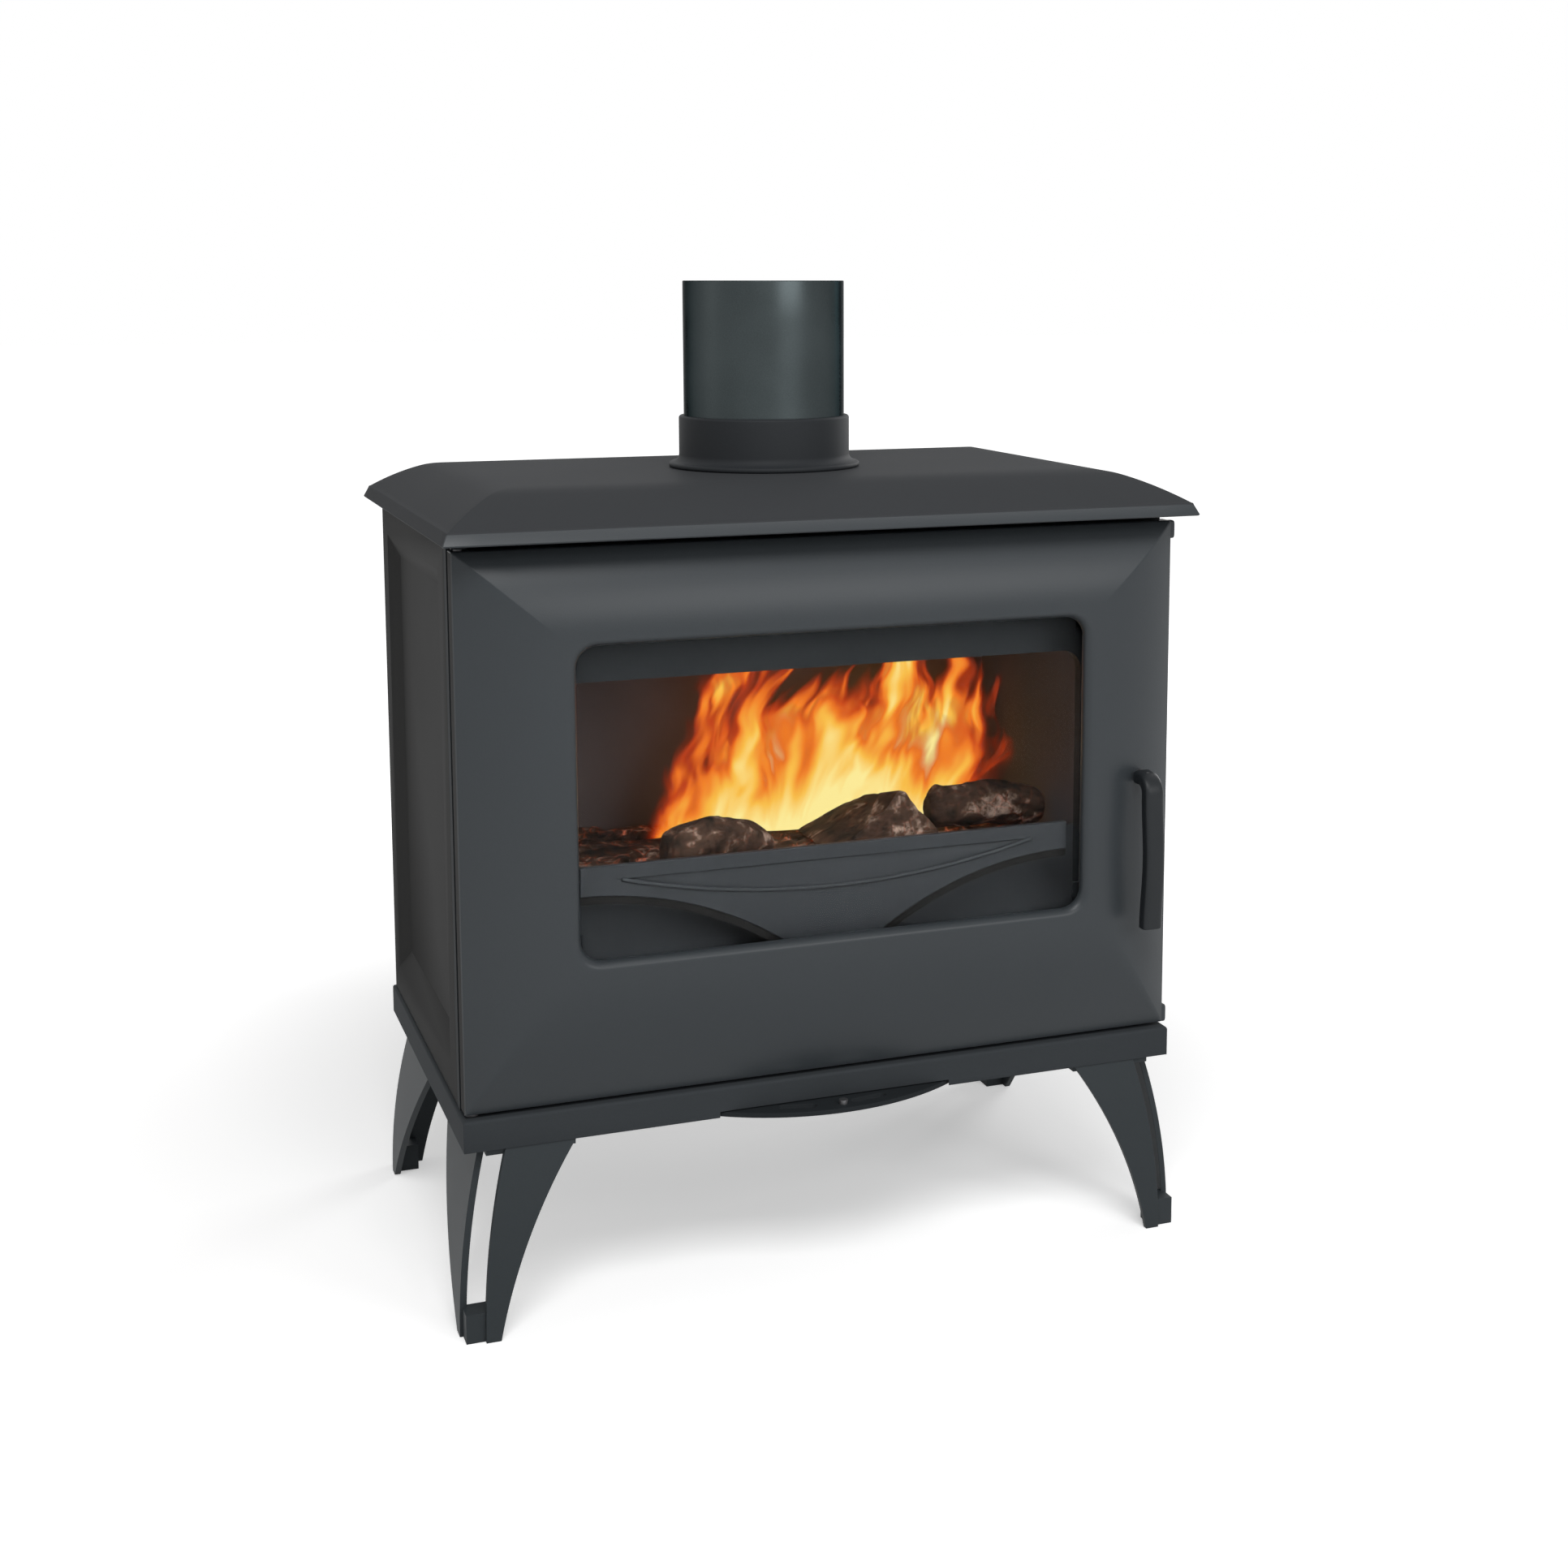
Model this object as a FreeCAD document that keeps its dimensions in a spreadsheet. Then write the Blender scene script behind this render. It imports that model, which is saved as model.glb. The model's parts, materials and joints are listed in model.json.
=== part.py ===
import FreeCAD, Part
import math
import os
import Sketcher

# Cast iron wood stove on four legs. Lengths in millimetres, +Z up, front towards -Y.
# The origin is the middle of the bounding box, on the floor.

SIZES = {
    # body
    "body_width": 672.0,
    "body_depth": 380.0,
    "panel_thickness": 16.0,
    "panel_border": 30.0,
    "panel_sink": 9.0,
    "panel_slope": 20.0,
    "frame_thickness": 12.0,
    "frame_side_bar": 81.0,
    "frame_low_bar": 37.0,
    "frame_high_bar": 128.0,
    "ledge_depth": 16.0,
    # base and legs
    "leg_height": 167.0,
    "base_thickness": 28.0,
    "base_side_proud": 2.5,
    "base_end_proud": 6.0,
    "base_round": 3.0,
    "leg_side_inset": 16.5,
    "leg_end_inset": 1.5,
    "leg_side_flare": 6.5,
    "leg_end_flare": 13.0,
    "leg_wall": 6.0,
    "leg_slit": 19.5,
    "leg_top_width": 62.0,
    "leg_side_top_width": 142.0,
    "leg_foot_width": 13.0,
    "leg_inner_bow": 9.7,
    "leg_web_height": 26.0,
    "leg_web_sink": 4.0,
    "leg_plate_wall": 6.0,
    "leg_bolt_radius": 4.0,
    "leg_bolt_head": 7.0,
    "leg_bolt_head_height": 5.0,
    # door
    "door_height": 486.0,
    "door_low_gap": 3.0,
    "door_high_gap": 7.0,
    "door_rim_depth": 18.0,
    "door_pillow": 25.0,
    "door_side_border": 88.0,
    "door_high_border": 76.0,
    "door_low_border": 122.0,
    "door_wall": 9.0,
    "door_rim_width": 26.0,
    "door_seal_gap": 5.0,
    "door_nub": 4.0,
    "door_nub_height": 17.0,
    "window_side_margin": 11.0,
    "window_low_margin": 8.0,
    "window_high_margin": 6.0,
    "window_corner": 19.0,
    "glass_overlap": 6.0,
    "glass_thickness": 4.0,
    "gasket_thickness": 2.5,
    "gasket_width": 5.0,
    "clip_length": 26.0,
    "clip_width": 14.0,
    "clip_thickness": 2.5,
    "clip_screw_radius": 2.5,
    "clip_screw_head": 4.5,
    "clip_screw_head_height": 3.0,
    "clip_boss_radius": 6.0,
    "rope_inset": 13.0,
    "rope_width": 10.0,
    "rope_depth": 8.0,
    "rope_side_slack": 0.3,
    "rope_frame_gap": 0.4,
    "hinge_inset": 8.0,
    "hinge_depth": 6.5,
    "hinge_radius": 4.0,
    "hinge_hold": 30.0,
    "hinge_seat": 10.0,
    "running_slack": 0.05,
    "end_slack": 0.4,
    "washer_radius": 6.5,
    # handle
    "handle_side_inset": 39.0,
    "handle_drop": 236.0,
    "handle_reach": 55.0,
    "lever_width": 19.0,
    "lever_thickness": 13.0,
    "lever_length": 140.0,
    "lever_bow": 5.0,
    "lever_arm": 22.0,
    "lever_clearance": 24.0,
    "lever_round": 3.5,
    "spindle_radius": 6.0,
    "bush_wall": 2.0,
    "bush_boss_radius": 13.0,
    "cam_radius": 10.0,
    "cam_thickness": 7.0,
    "cam_width": 9.0,
    "cam_reach": 27.0,
    "cam_lip_gap": 0.6,
    "nut_frame_gap": 6.0,
    "nut_radius": 8.5,
    "nut_height": 6.0,
    "keeper_post": 7.0,
    "keeper_height": 22.0,
    "keeper_lip": 4.0,
    "keeper_hook": 18.0,
    "keeper_side": 77.0,
    # lid and flue
    "lid_side_overhang": 12.0,
    "lid_front_overhang": 32.0,
    "lid_back_overhang": 40.0,
    "lid_lip": 12.0,
    "lid_crown": 27.0,
    "lid_bow": 3.0,
    "lid_side_run": 62.0,
    "lid_front_run": 78.0,
    "lid_back_run": 66.0,
    "lid_wall": 9.0,
    "flue_radius": 76.5,
    "flue_wall": 2.0,
    "flue_above_collar": 127.0,
    "flue_in_collar": 36.0,
    "flue_swage": 0.6,
    "flue_slack": 0.3,
    "collar_radius": 81.3,
    "collar_height": 49.0,
    "collar_foot_radius": 91.0,
    "collar_foot_height": 5.0,
    "collar_spigot": 6.0,
    "collar_spigot_wall": 6.0,
    "collar_screw_radius": 3.0,
    "collar_screw_head": 5.0,
    "collar_screw_head_height": 3.5,
    # fire box
    "hearth_height": 135.0,
    "hearth_wall": 10.0,
    "hearth_slack": 2.0,
    "grate_length": 340.0,
    "grate_depth": 200.0,
    "grate_wall": 12.0,
    "grate_slot": 10.0,
    "grate_border": 26.0,
    "grate_centre": 22.0,
    "hearth_hole_inset": 20.0,
    "liner_wall": 25.0,
    "liner_height": 262.0,
    "liner_front_gap": 30.0,
    "baffle_wall": 12.0,
    "baffle_throat": 88.0,
    "baffle_back_gap": 30.0,
    "pan_width": 280.0,
    "pan_depth": 240.0,
    "pan_height": 60.0,
    "pan_wall": 2.0,
    "rail_width": 12.0,
    "rail_height": 12.0,
    "fence_wall": 6.0,
    "fence_height": 170.0,
    "fence_low": 27.0,
    "fence_lap": 8.0,
    "guard_side_gap": 5.0,
    "guard_wall": 6.0,
    "guard_gap": 27.0,
    "guard_high": 77.0,
    "guard_end": 26.0,
    "guard_drop": 68.0,
    "guard_foot": 66.0,
    "guard_field_inset": 37.0,
    "guard_field_drop": 13.0,
    "guard_field_sag": 25.0,
    "guard_field_sink": 2.0,
    "spacer_radius": 7.0,
    "spacer_side_gap": 90.0,
    "spacer_low": 22.0,
    "rod_radius": 4.0,
    "rod_hole_radius": 5.0,
    "rod_side_inset": 29.5,
    "rod_front_inset": 16.0,
    "rod_back_inset": 15.5,
    # fire
    "bed_height": 22.0,
    "bed_slope": 22.0,
    "bed_side_gap": 8.0,
    "bed_front_gap": 14.5,
    "bed_back_gap": 4.5,
    "log_left_radius": 26.0,
    "log_left_length": 120.0,
    "log_left_gap": 40.0,
    "log_left_front": 65.0,
    "log_right_radius": 24.5,
    "log_right_length": 122.0,
    "log_right_gap": 2.0,
    "log_right_front": 110.0,
    "split_width": 130.0,
    "split_height": 63.0,
    "split_lean": 13.0,
    "split_length": 110.0,
    "split_gap": 1.0,
    "split_front": 50.0,
    # air register
    "register_radius": 208.0,
    "register_wall": 4.5,
    "register_seat_radius": 211.0,
    "register_seat": 5.5,
    "register_forward": 16.0,
    "register_bolt_radius": 6.0,
    "register_head_radius": 16.0,
    "register_head_height": 6.0,
    "register_slot_width": 8.0,
    "register_slot_length": 34.0,
    "register_slot_inset": 15.0,
    "register_knob_radius": 4.0,
    "register_knob_height": 4.0,
    "register_knob_inset": 11.0,
    "air_slot_near": 66.0,
    "air_slot_length": 70.0,
    "air_slot_width": 34.0,
}

# plain numbers that are shares, turns or counts and so carry no length
HALF_SHARE = 0.5
EIGHT_COUNT = 8
SLOT_TURN_SHARES = (8.0, -12.0)
AIR_BASE_TURN_SHARE = 30.0
AIR_DISC_TURN_SHARE = 15.0
LOG_TURN_SHARES = (20.0, -4.0)
PLAIN_COUNT = 2
HALF_TURN = 180.0
FULL_TURN = 360.0
AIR_COUNT = 6
CLEAR_SHARE = 0.2
SCREW_TURNS = (60.0, 90.0, 120.0)

doc = FreeCAD.newDocument("Stove")
sheet = doc.addObject("Spreadsheet::Sheet", "Sizes")
for row, (alias, value) in enumerate(SIZES.items(), start=1):
    sheet.set("A%d" % row, alias)
    sheet.set("B%d" % row, str(value))
    sheet.setAlias("B%d" % row, alias)
doc.recompute()


class Size:
    """A length that knows both its present value and how it follows from the sheet."""

    def __init__(self, text, value):
        self.text = text
        self.value = value

    def _join(self, sign, other, value):
        return Size("(%s %s %s)" % (self.text, sign, other.text), value)

    def __add__(self, other):
        other = as_size(other)
        return self._join("+", other, self.value + other.value)

    def __sub__(self, other):
        other = as_size(other)
        return self._join("-", other, self.value - other.value)

    def __mul__(self, other):
        other = as_size(other)
        return self._join("*", other, self.value * other.value)

    def __truediv__(self, other):
        other = as_size(other)
        return self._join("/", other, self.value / other.value)

    def __neg__(self):
        return Size("(0 - %s)" % self.text, -self.value)

    __radd__ = __add__
    __rmul__ = __mul__

    def __rsub__(self, other):
        return as_size(other) - self


def as_size(number):
    """Let a plain share or zero stand where a Size is expected."""
    if isinstance(number, Size):
        return number
    return Size(repr(number), float(number))


class Sheet:
    """Gives each sheet cell as a Size."""

    def __getattr__(self, alias):
        return Size("Sizes.%s" % alias, SIZES[alias])


d = Sheet()


def half(size):
    return size * HALF_SHARE


def bow_radius(chord, rise):
    """Radius of the arc that leaves a flat tangentially and rises over the given run."""
    return (chord * chord + rise * rise) / (rise + rise)


def chord_radius(run, rise, bow):
    """Radius of the arc that stands the given bow away from the straight line between its ends."""
    return (run * run + rise * rise) / (bow * EIGHT_COUNT) + half(bow)


def bind(obj, prop, size):
    obj.setExpression(prop, as_size(size).text)


def place(obj, x=0, y=0, z=0):
    for axis, size in zip("xyz", (x, y, z)):
        bind(obj, "Placement.Base.%s" % axis, size)
    return obj


counter = {"n": 0}


def fresh(stem):
    counter["n"] += 1
    return "%s_%d" % (stem, counter["n"])


def turn(obj, axis, angle):
    obj.Placement = FreeCAD.Placement(FreeCAD.Vector(0, 0, 0), FreeCAD.Rotation(axis, angle))
    return obj


AXIS_X = FreeCAD.Vector(1, 0, 0)
AXIS_Y = FreeCAD.Vector(0, 1, 0)
AXIS_Z = FreeCAD.Vector(0, 0, 1)
QUARTER = 90.0


def box(x_low, x_high, y_low, y_high, z_low, z_high):
    obj = doc.addObject("Part::Box", fresh("Box"))
    bind(obj, "Length", x_high - x_low)
    bind(obj, "Width", y_high - y_low)
    bind(obj, "Height", z_high - z_low)
    return place(obj, x_low, y_low, z_low)


def rod(axis, x, y, z, radius, length):
    """A cylinder that starts at the given point and runs along +X, +Y or +Z."""
    obj = doc.addObject("Part::Cylinder", fresh("Rod"))
    bind(obj, "Radius", radius)
    bind(obj, "Height", length)
    if axis == "x":
        turn(obj, AXIS_Y, QUARTER)
    if axis == "y":
        turn(obj, AXIS_X, -QUARTER)
    return place(obj, x, y, z)


def frustum(side, low, high, low_inset, depth):
    """A pyramid stump from a rectangle, getting smaller by low_inset all round over its depth."""
    obj = doc.addObject("Part::Wedge", fresh("Stump"))
    (a_low, b_low), (a_high, b_high) = low, high
    bind(obj, "Xmin", a_low)
    bind(obj, "Xmax", a_high)
    bind(obj, "Zmin", b_low)
    bind(obj, "Zmax", b_high)
    bind(obj, "Ymin", 0)
    bind(obj, "Ymax", depth)
    bind(obj, "X2min", a_low + low_inset)
    bind(obj, "X2max", a_high - low_inset)
    bind(obj, "Z2min", b_low + low_inset)
    bind(obj, "Z2max", b_high - low_inset)
    axis, angle = side
    return turn(obj, axis, angle)


def cut(base, *tools):
    for tool in tools:
        obj = doc.addObject("Part::Cut", fresh("Cut"))
        obj.Base = base
        obj.Tool = tool
        obj.Refine = True
        base = obj
    return base


def fuse(*shapes):
    obj = doc.addObject("Part::MultiFuse", fresh("Fuse"))
    obj.Shapes = list(shapes)
    obj.Refine = True
    return obj


def common(first, second):
    obj = doc.addObject("Part::Common", fresh("Common"))
    obj.Base = first
    obj.Tool = second
    obj.Refine = True
    return obj


def group(*shapes):
    obj = doc.addObject("Part::Compound", fresh("Group"))
    obj.Links = list(shapes)
    return obj


def turned(shape, angle, x, y, z):
    """The shape turned about Z and then moved."""
    return place(turn(group(shape), AXIS_Z, angle), x, y, z)


def new_body():
    return doc.addObject("PartDesign::Body", fresh("Body"))


def draw(sketch, corners):
    """Close an outline through corners, each held by its two distances from the origin.

    A corner is (u, v) or (u, v, radius, side): the way to it is then an arc, side +1 leftwards.
    """
    count = len(corners)
    ends = []
    for index, corner in enumerate(corners):
        before = corners[index - 1]
        start = FreeCAD.Vector(as_size(before[0]).value, as_size(before[1]).value, 0)
        stop = FreeCAD.Vector(as_size(corner[0]).value, as_size(corner[1]).value, 0)
        if len(corner) == PLAIN_COUNT:
            geo = sketch.addGeometry(Part.LineSegment(start, stop), False)
            ends.append((geo, 1, 2))
            continue
        radius = as_size(corner[2]).value
        middle = (start + stop) * HALF_SHARE
        along = stop - start
        left = FreeCAD.Vector(-along.y, along.x, 0).normalize()
        reach = math.sqrt(max(radius ** 2 - (along.Length * HALF_SHARE) ** 2, 0))
        centre = middle + left * (reach * corner[3])
        first = math.atan2(start.y - centre.y, start.x - centre.x)
        last = math.atan2(stop.y - centre.y, stop.x - centre.x)
        circle = Part.Circle(centre, AXIS_Z, radius)
        if corner[3] > 0:
            geo = sketch.addGeometry(Part.ArcOfCircle(circle, first, last), False)
            ends.append((geo, 1, 2))
        else:
            geo = sketch.addGeometry(Part.ArcOfCircle(circle, last, first), False)
            ends.append((geo, 2, 1))
    for index, corner in enumerate(corners):
        geo, head, tail = ends[index]
        follow = ends[(index + 1) % count]
        sketch.addConstraint(Sketcher.Constraint("Coincident", geo, tail, follow[0], follow[1]))
        for kind, size in (("DistanceX", corner[0]), ("DistanceY", corner[1])):
            size = as_size(size)
            rule = Sketcher.Constraint(kind, -1, 1, geo, tail, size.value)
            spot = sketch.addConstraint(rule)
            bind(sketch, "Constraints[%d]" % spot, size)
        if len(corner) > PLAIN_COUNT:
            spot = sketch.addConstraint(Sketcher.Constraint("Radius", geo, as_size(corner[2]).value))
            bind(sketch, "Constraints[%d]" % spot, corner[2])


def add_sketch(body, role, corners, level=0, angle=0):
    sketch = body.newObject("Sketcher::SketchObject", fresh("Sketch"))
    plane = [f for f in body.Origin.OriginFeatures if f.Role == role][0]
    sketch.AttachmentSupport = [(plane, "")]
    sketch.MapMode = "FlatFace"
    sketch.AttachmentOffset = FreeCAD.Placement(
        FreeCAD.Vector(0, 0, as_size(level).value), FreeCAD.Rotation(AXIS_Z, angle))
    bind(sketch, "AttachmentOffset.Base.z", level)
    draw(sketch, corners)
    return sketch


def pad(body, sketch, length):
    doc.recompute()
    feature = body.newObject("PartDesign::Pad", fresh("Pad"))
    feature.Profile = sketch
    bind(feature, "Length", length)
    sketch.Visibility = False
    return feature


def prism(role, corners, level, length):
    """A body padded from an outline: XY pads up, YZ pads to +X, XZ pads to the front (-Y)."""
    body = new_body()
    if role == "XZ_Plane":
        level = -as_size(level)
    pad(body, add_sketch(body, role, corners, level), length)
    return body


def rounded(body, keep, radius):
    """Round the edges of the body's tip that the test picks."""
    doc.recompute()
    base = body.Tip
    names = ["Edge%d" % (i + 1) for i, e in enumerate(base.Shape.Edges) if keep(e)]
    feature = body.newObject("PartDesign::Fillet", fresh("Round"))
    feature.Base = (base, names)
    bind(feature, "Radius", radius)
    return body


def spun(corners):
    """A body turned about Z from an outline in the XZ plane."""
    body = new_body()
    sketch = add_sketch(body, "XZ_Plane", corners)
    doc.recompute()
    feature = body.newObject("PartDesign::Revolution", fresh("Spin"))
    feature.Profile = sketch
    feature.ReferenceAxis = (sketch, ["V_Axis"])
    feature.Angle = FULL_TURN
    return body


def slot_across(length, width, centre_v):
    """Corners of a slot with round ends along u; its middle lies at (0, centre_v)."""
    reach = half(length - width)
    r = half(width)
    return [(reach, centre_v - r), (reach + r, centre_v, r, 1), (reach, centre_v + r, r, 1),
            (-reach, centre_v + r), (-reach - r, centre_v, r, 1), (-reach, centre_v - r, r, 1)]


def slot_upright(low_v, length, width):
    """Corners of a slot with round ends along v, starting at low_v."""
    r = half(width)
    high_v = low_v + length
    return [(r, low_v + r, r, 1), (r, high_v - r), (0, high_v, r, 1), (-r, high_v - r, r, 1),
            (-r, low_v + r), (0, low_v, r, 1)]


def round_rect(u_low, u_high, v_low, v_high, r):
    return [(u_low + r, v_low, r, 1), (u_high - r, v_low), (u_high, v_low + r, r, 1),
            (u_high, v_high - r), (u_high - r, v_high, r, 1), (u_low + r, v_high),
            (u_low, v_high - r, r, 1), (u_low, v_low + r)]


def rect(u_low, u_high, v_low, v_high):
    return [(u_low, v_low), (u_high, v_low), (u_high, v_high), (u_low, v_high)]


def ring(outer, inner, level, length):
    """A flat frame: one outline padded to the front, less the other."""
    return cut(prism("XZ_Plane", outer, level, length), prism("XZ_Plane", inner, level, length))


PARTS = {}


def name(obj, node):
    obj.Label = node
    PARTS[node] = obj
    return obj


# main planes
half_width = half(d.body_width)
lid_width = d.body_width + d.lid_side_overhang + d.lid_side_overhang
lid_depth = d.lid_front_overhang + d.body_depth + d.lid_back_overhang
y_lid_back = half(d.body_depth + d.lid_back_overhang + d.handle_reach)
y_rim = y_lid_back - d.lid_back_overhang - d.body_depth
y_lid_front = y_rim - d.lid_front_overhang
y_body_back = y_rim + d.body_depth
y_door_back = y_rim + d.door_rim_depth
y_face = y_rim - d.door_pillow
y_frame = y_door_back + d.door_seal_gap
y_frame_back = y_frame + d.frame_thickness
y_chamber_back = y_body_back - d.panel_thickness
y_middle = half(y_rim + y_body_back)
y_flue = half(y_lid_front + y_lid_back)
x_inner = half_width - d.panel_thickness

z_base = d.leg_height
z_body = z_base + d.base_thickness
z_door = z_body + d.door_low_gap
z_door_top = z_door + d.door_height
z_lid = z_door_top + d.door_high_gap
z_lip = z_lid + d.lid_lip
z_top = z_lip + d.lid_crown
z_collar = z_top + d.collar_height
z_flue_top = z_collar + d.flue_above_collar
z_hearth = z_body + d.hearth_height
z_fire = z_hearth + d.hearth_wall

base_half = half_width + d.base_side_proud
y_base_front = y_rim - d.base_end_proud
y_base_back = y_body_back + d.base_end_proud
y_register = y_middle - d.register_forward
x_hinge = d.hinge_inset - half_width
y_hinge = y_door_back - d.hinge_depth


# base
def make_base():
    body = new_body()
    pad(body, add_sketch(body, "XY_Plane", rect(-base_half, base_half, y_base_front, y_base_back), z_base),
        d.base_thickness)
    middle = half(z_base + z_body).value
    rounded(body, lambda e: e.BoundBox.ZMin > middle, d.base_round)
    seat = rod("z", 0, y_register, z_base, d.register_seat_radius, d.register_seat)
    bolt_hole = rod("z", 0, y_register, z_base, d.register_bolt_radius + d.running_slack, d.base_thickness)
    air = air_slots(z_base, d.base_thickness, AIR_BASE_TURN_SHARE)
    pin_hole = rod("z", x_hinge, y_hinge, z_body - d.hinge_seat, d.hinge_radius, d.hinge_seat)
    return cut(body, seat, bolt_hole, air, pin_hole)


def air_slots(level, height, turn_share):
    """The ring of air windows round the register bolt, as one cutting body."""
    body = new_body()
    outline = slot_upright(d.air_slot_near, d.air_slot_length, d.air_slot_width)
    first = pad(body, add_sketch(body, "XY_Plane", outline, 0, turn_share), height)
    pattern = body.newObject("PartDesign::PolarPattern", fresh("Slots"))
    pattern.Originals = [first]
    axis = [f for f in body.Origin.OriginFeatures if f.Role == "Z_Axis"][0]
    pattern.Axis = (axis, [""])
    pattern.Angle = FULL_TURN
    pattern.Occurrences = AIR_COUNT
    body.Tip = pattern
    return place(body, 0, y_register, level)


name(make_base(), "base_plate")


# sides, back and frame
def make_side(sign):
    if sign < 0:
        plate = box(-half_width, -x_inner, y_frame_back, y_body_back, z_body, z_lid)
        ledge = box(-x_inner, d.ledge_depth - x_inner, y_frame_back + d.panel_border,
                    y_chamber_back - d.panel_border, z_hearth - d.ledge_depth, z_hearth)
        side = (AXIS_Z, -QUARTER)
        low = (d.panel_border - y_body_back, z_body + d.panel_border)
        high = (-y_frame_back - d.panel_border, z_lid - d.panel_border)
    else:
        plate = box(x_inner, half_width, y_frame_back, y_body_back, z_body, z_lid)
        ledge = box(x_inner - d.ledge_depth, x_inner, y_frame_back + d.panel_border,
                    y_chamber_back - d.panel_border, z_hearth - d.ledge_depth, z_hearth)
        side = (AXIS_Z, QUARTER)
        low = (y_frame_back + d.panel_border, z_body + d.panel_border)
        high = (y_body_back - d.panel_border, z_lid - d.panel_border)
    field = place(frustum(side, low, high, d.panel_slope, d.panel_sink), half_width * sign, 0, 0)
    return fuse(cut(plate, field), ledge)


name(make_side(-1), "side_panel_left")
name(make_side(1), "side_panel_right")

back_plate = box(-x_inner, x_inner, y_chamber_back, y_body_back, z_body, z_lid)
back_field = frustum((AXIS_Z, HALF_TURN), (d.panel_border - x_inner, z_body + d.panel_border),
                     (x_inner - d.panel_border, z_lid - d.panel_border), d.panel_slope, d.panel_sink)
name(cut(back_plate, place(back_field, 0, y_body_back, 0)), "back_panel")

x_mouth = half_width - d.frame_side_bar
z_mouth = z_body + d.frame_low_bar
z_mouth_top = z_lid - d.frame_high_bar
frame_plate = box(-half_width, half_width, y_frame, y_frame_back, z_body, z_lid)
frame_mouth = prism("XZ_Plane", round_rect(-x_mouth, x_mouth, z_mouth, z_mouth_top, d.window_corner),
                    y_frame_back, d.frame_thickness)
lug_low = z_door_top + d.washer_radius * CLEAR_SHARE
hinge_lug = box(x_hinge - d.washer_radius, x_hinge + d.washer_radius, y_hinge - d.washer_radius,
                y_frame, lug_low, z_lid)
lug_hole = rod("z", x_hinge, y_hinge, lug_low, d.hinge_radius, z_lid - lug_low)
name(fuse(cut(frame_plate, frame_mouth), cut(hinge_lug, lug_hole)), "front_frame")


# lid
def make_lid():
    half_lid = half(lid_width)
    side_r = chord_radius(d.lid_side_run, d.lid_crown, d.lid_bow)
    front_r = chord_radius(d.lid_front_run, d.lid_crown, d.lid_bow)
    back_r = chord_radius(d.lid_back_run, d.lid_crown, d.lid_bow)
    across = prism("XZ_Plane", [
        (-half_lid, z_lid), (half_lid, z_lid), (half_lid, z_lip),
        (half_lid - d.lid_side_run, z_top, side_r, 1), (d.lid_side_run - half_lid, z_top),
        (-half_lid, z_lip, side_r, 1)], y_lid_back, lid_depth)
    along = prism("YZ_Plane", [
        (y_lid_front, z_lid), (y_lid_back, z_lid), (y_lid_back, z_lip),
        (y_lid_back - d.lid_back_run, z_top, back_r, 1), (y_lid_front + d.lid_front_run, z_top),
        (y_lid_front, z_lip, front_r, 1)], -half_lid, lid_width)
    hollow = frustum((AXIS_X, QUARTER), (-x_inner, -y_chamber_back), (x_inner, -y_frame_back),
                     d.lid_side_run * HALF_SHARE, d.lid_lip + d.lid_crown - d.lid_wall)
    place(hollow, 0, 0, z_lid)
    hole = rod("z", 0, y_flue, z_lid, d.flue_radius - d.flue_slack, z_top - z_lid)
    bosses = rod_posts(z_lid, d.lid_lip + d.lid_wall, d.ledge_depth * HALF_SHARE)
    return fuse(cut(common(across, along), hollow, hole), *bosses)


x_rod = half_width - d.rod_side_inset
y_rods = (y_frame_back + d.rod_front_inset, y_chamber_back - d.rod_back_inset)


def rod_posts(level, length, radius):
    return [rod("z", x_rod * side, y, level, radius, length) for side in (-1, 1) for y in y_rods]


name(make_lid(), "top_plate")
name(group(*rod_posts(z_body, z_lid - z_body, d.rod_radius)), "tie_rods")


# collar and pipe
flue_swaged = d.flue_radius - d.flue_swage


def make_collar():
    bore = flue_swaged + d.flue_slack
    spigot = flue_swaged
    inner = spigot - d.collar_spigot_wall
    z_seat_pipe = z_collar - d.flue_in_collar
    z_foot = z_top + d.collar_foot_height
    cove = d.collar_foot_radius - d.collar_radius
    top_r = d.collar_radius - d.flue_slack - d.flue_slack
    body = spun([
        (inner, z_top - d.collar_spigot), (spigot, z_top - d.collar_spigot), (spigot, z_top),
        (d.collar_foot_radius, z_top), (d.collar_foot_radius, z_foot),
        (d.collar_radius, z_foot + cove, cove, -1), (d.collar_radius, z_collar - d.flue_slack - d.flue_slack),
        (top_r, z_collar), (bore, z_collar), (bore, z_seat_pipe), (inner, z_seat_pipe)])
    return place(body, 0, y_flue, 0)


collar = make_collar()
z_screw = z_collar - half(d.flue_in_collar)
screw_holes = []
screws = []
for angle in SCREW_TURNS:
    for kind in ("hole", "screw"):
        shank = rod("x", flue_swaged, 0, 0, d.collar_screw_radius, d.collar_radius - flue_swaged)
        if kind == "screw":
            head = rod("x", d.collar_radius, 0, 0, d.collar_screw_head, d.collar_screw_head_height)
            shank = fuse(shank, head)
        spot = turned(shank, angle, 0, y_flue, z_screw)
        (screws if kind == "screw" else screw_holes).append(spot)
name(cut(collar, *screw_holes), "flue_collar")
name(group(*screws), "collar_screws")
z_pipe = z_collar - d.flue_in_collar
flue_length = d.flue_in_collar + d.flue_above_collar
flue_outer = rod("z", 0, y_flue, z_collar, d.flue_radius, d.flue_above_collar)
flue_end = rod("z", 0, y_flue, z_pipe, flue_swaged, flue_length)
flue_inner = rod("z", 0, y_flue, z_pipe, d.flue_radius - d.flue_wall, flue_length)
name(cut(fuse(flue_outer, flue_end), flue_inner), "flue_pipe")


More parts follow.
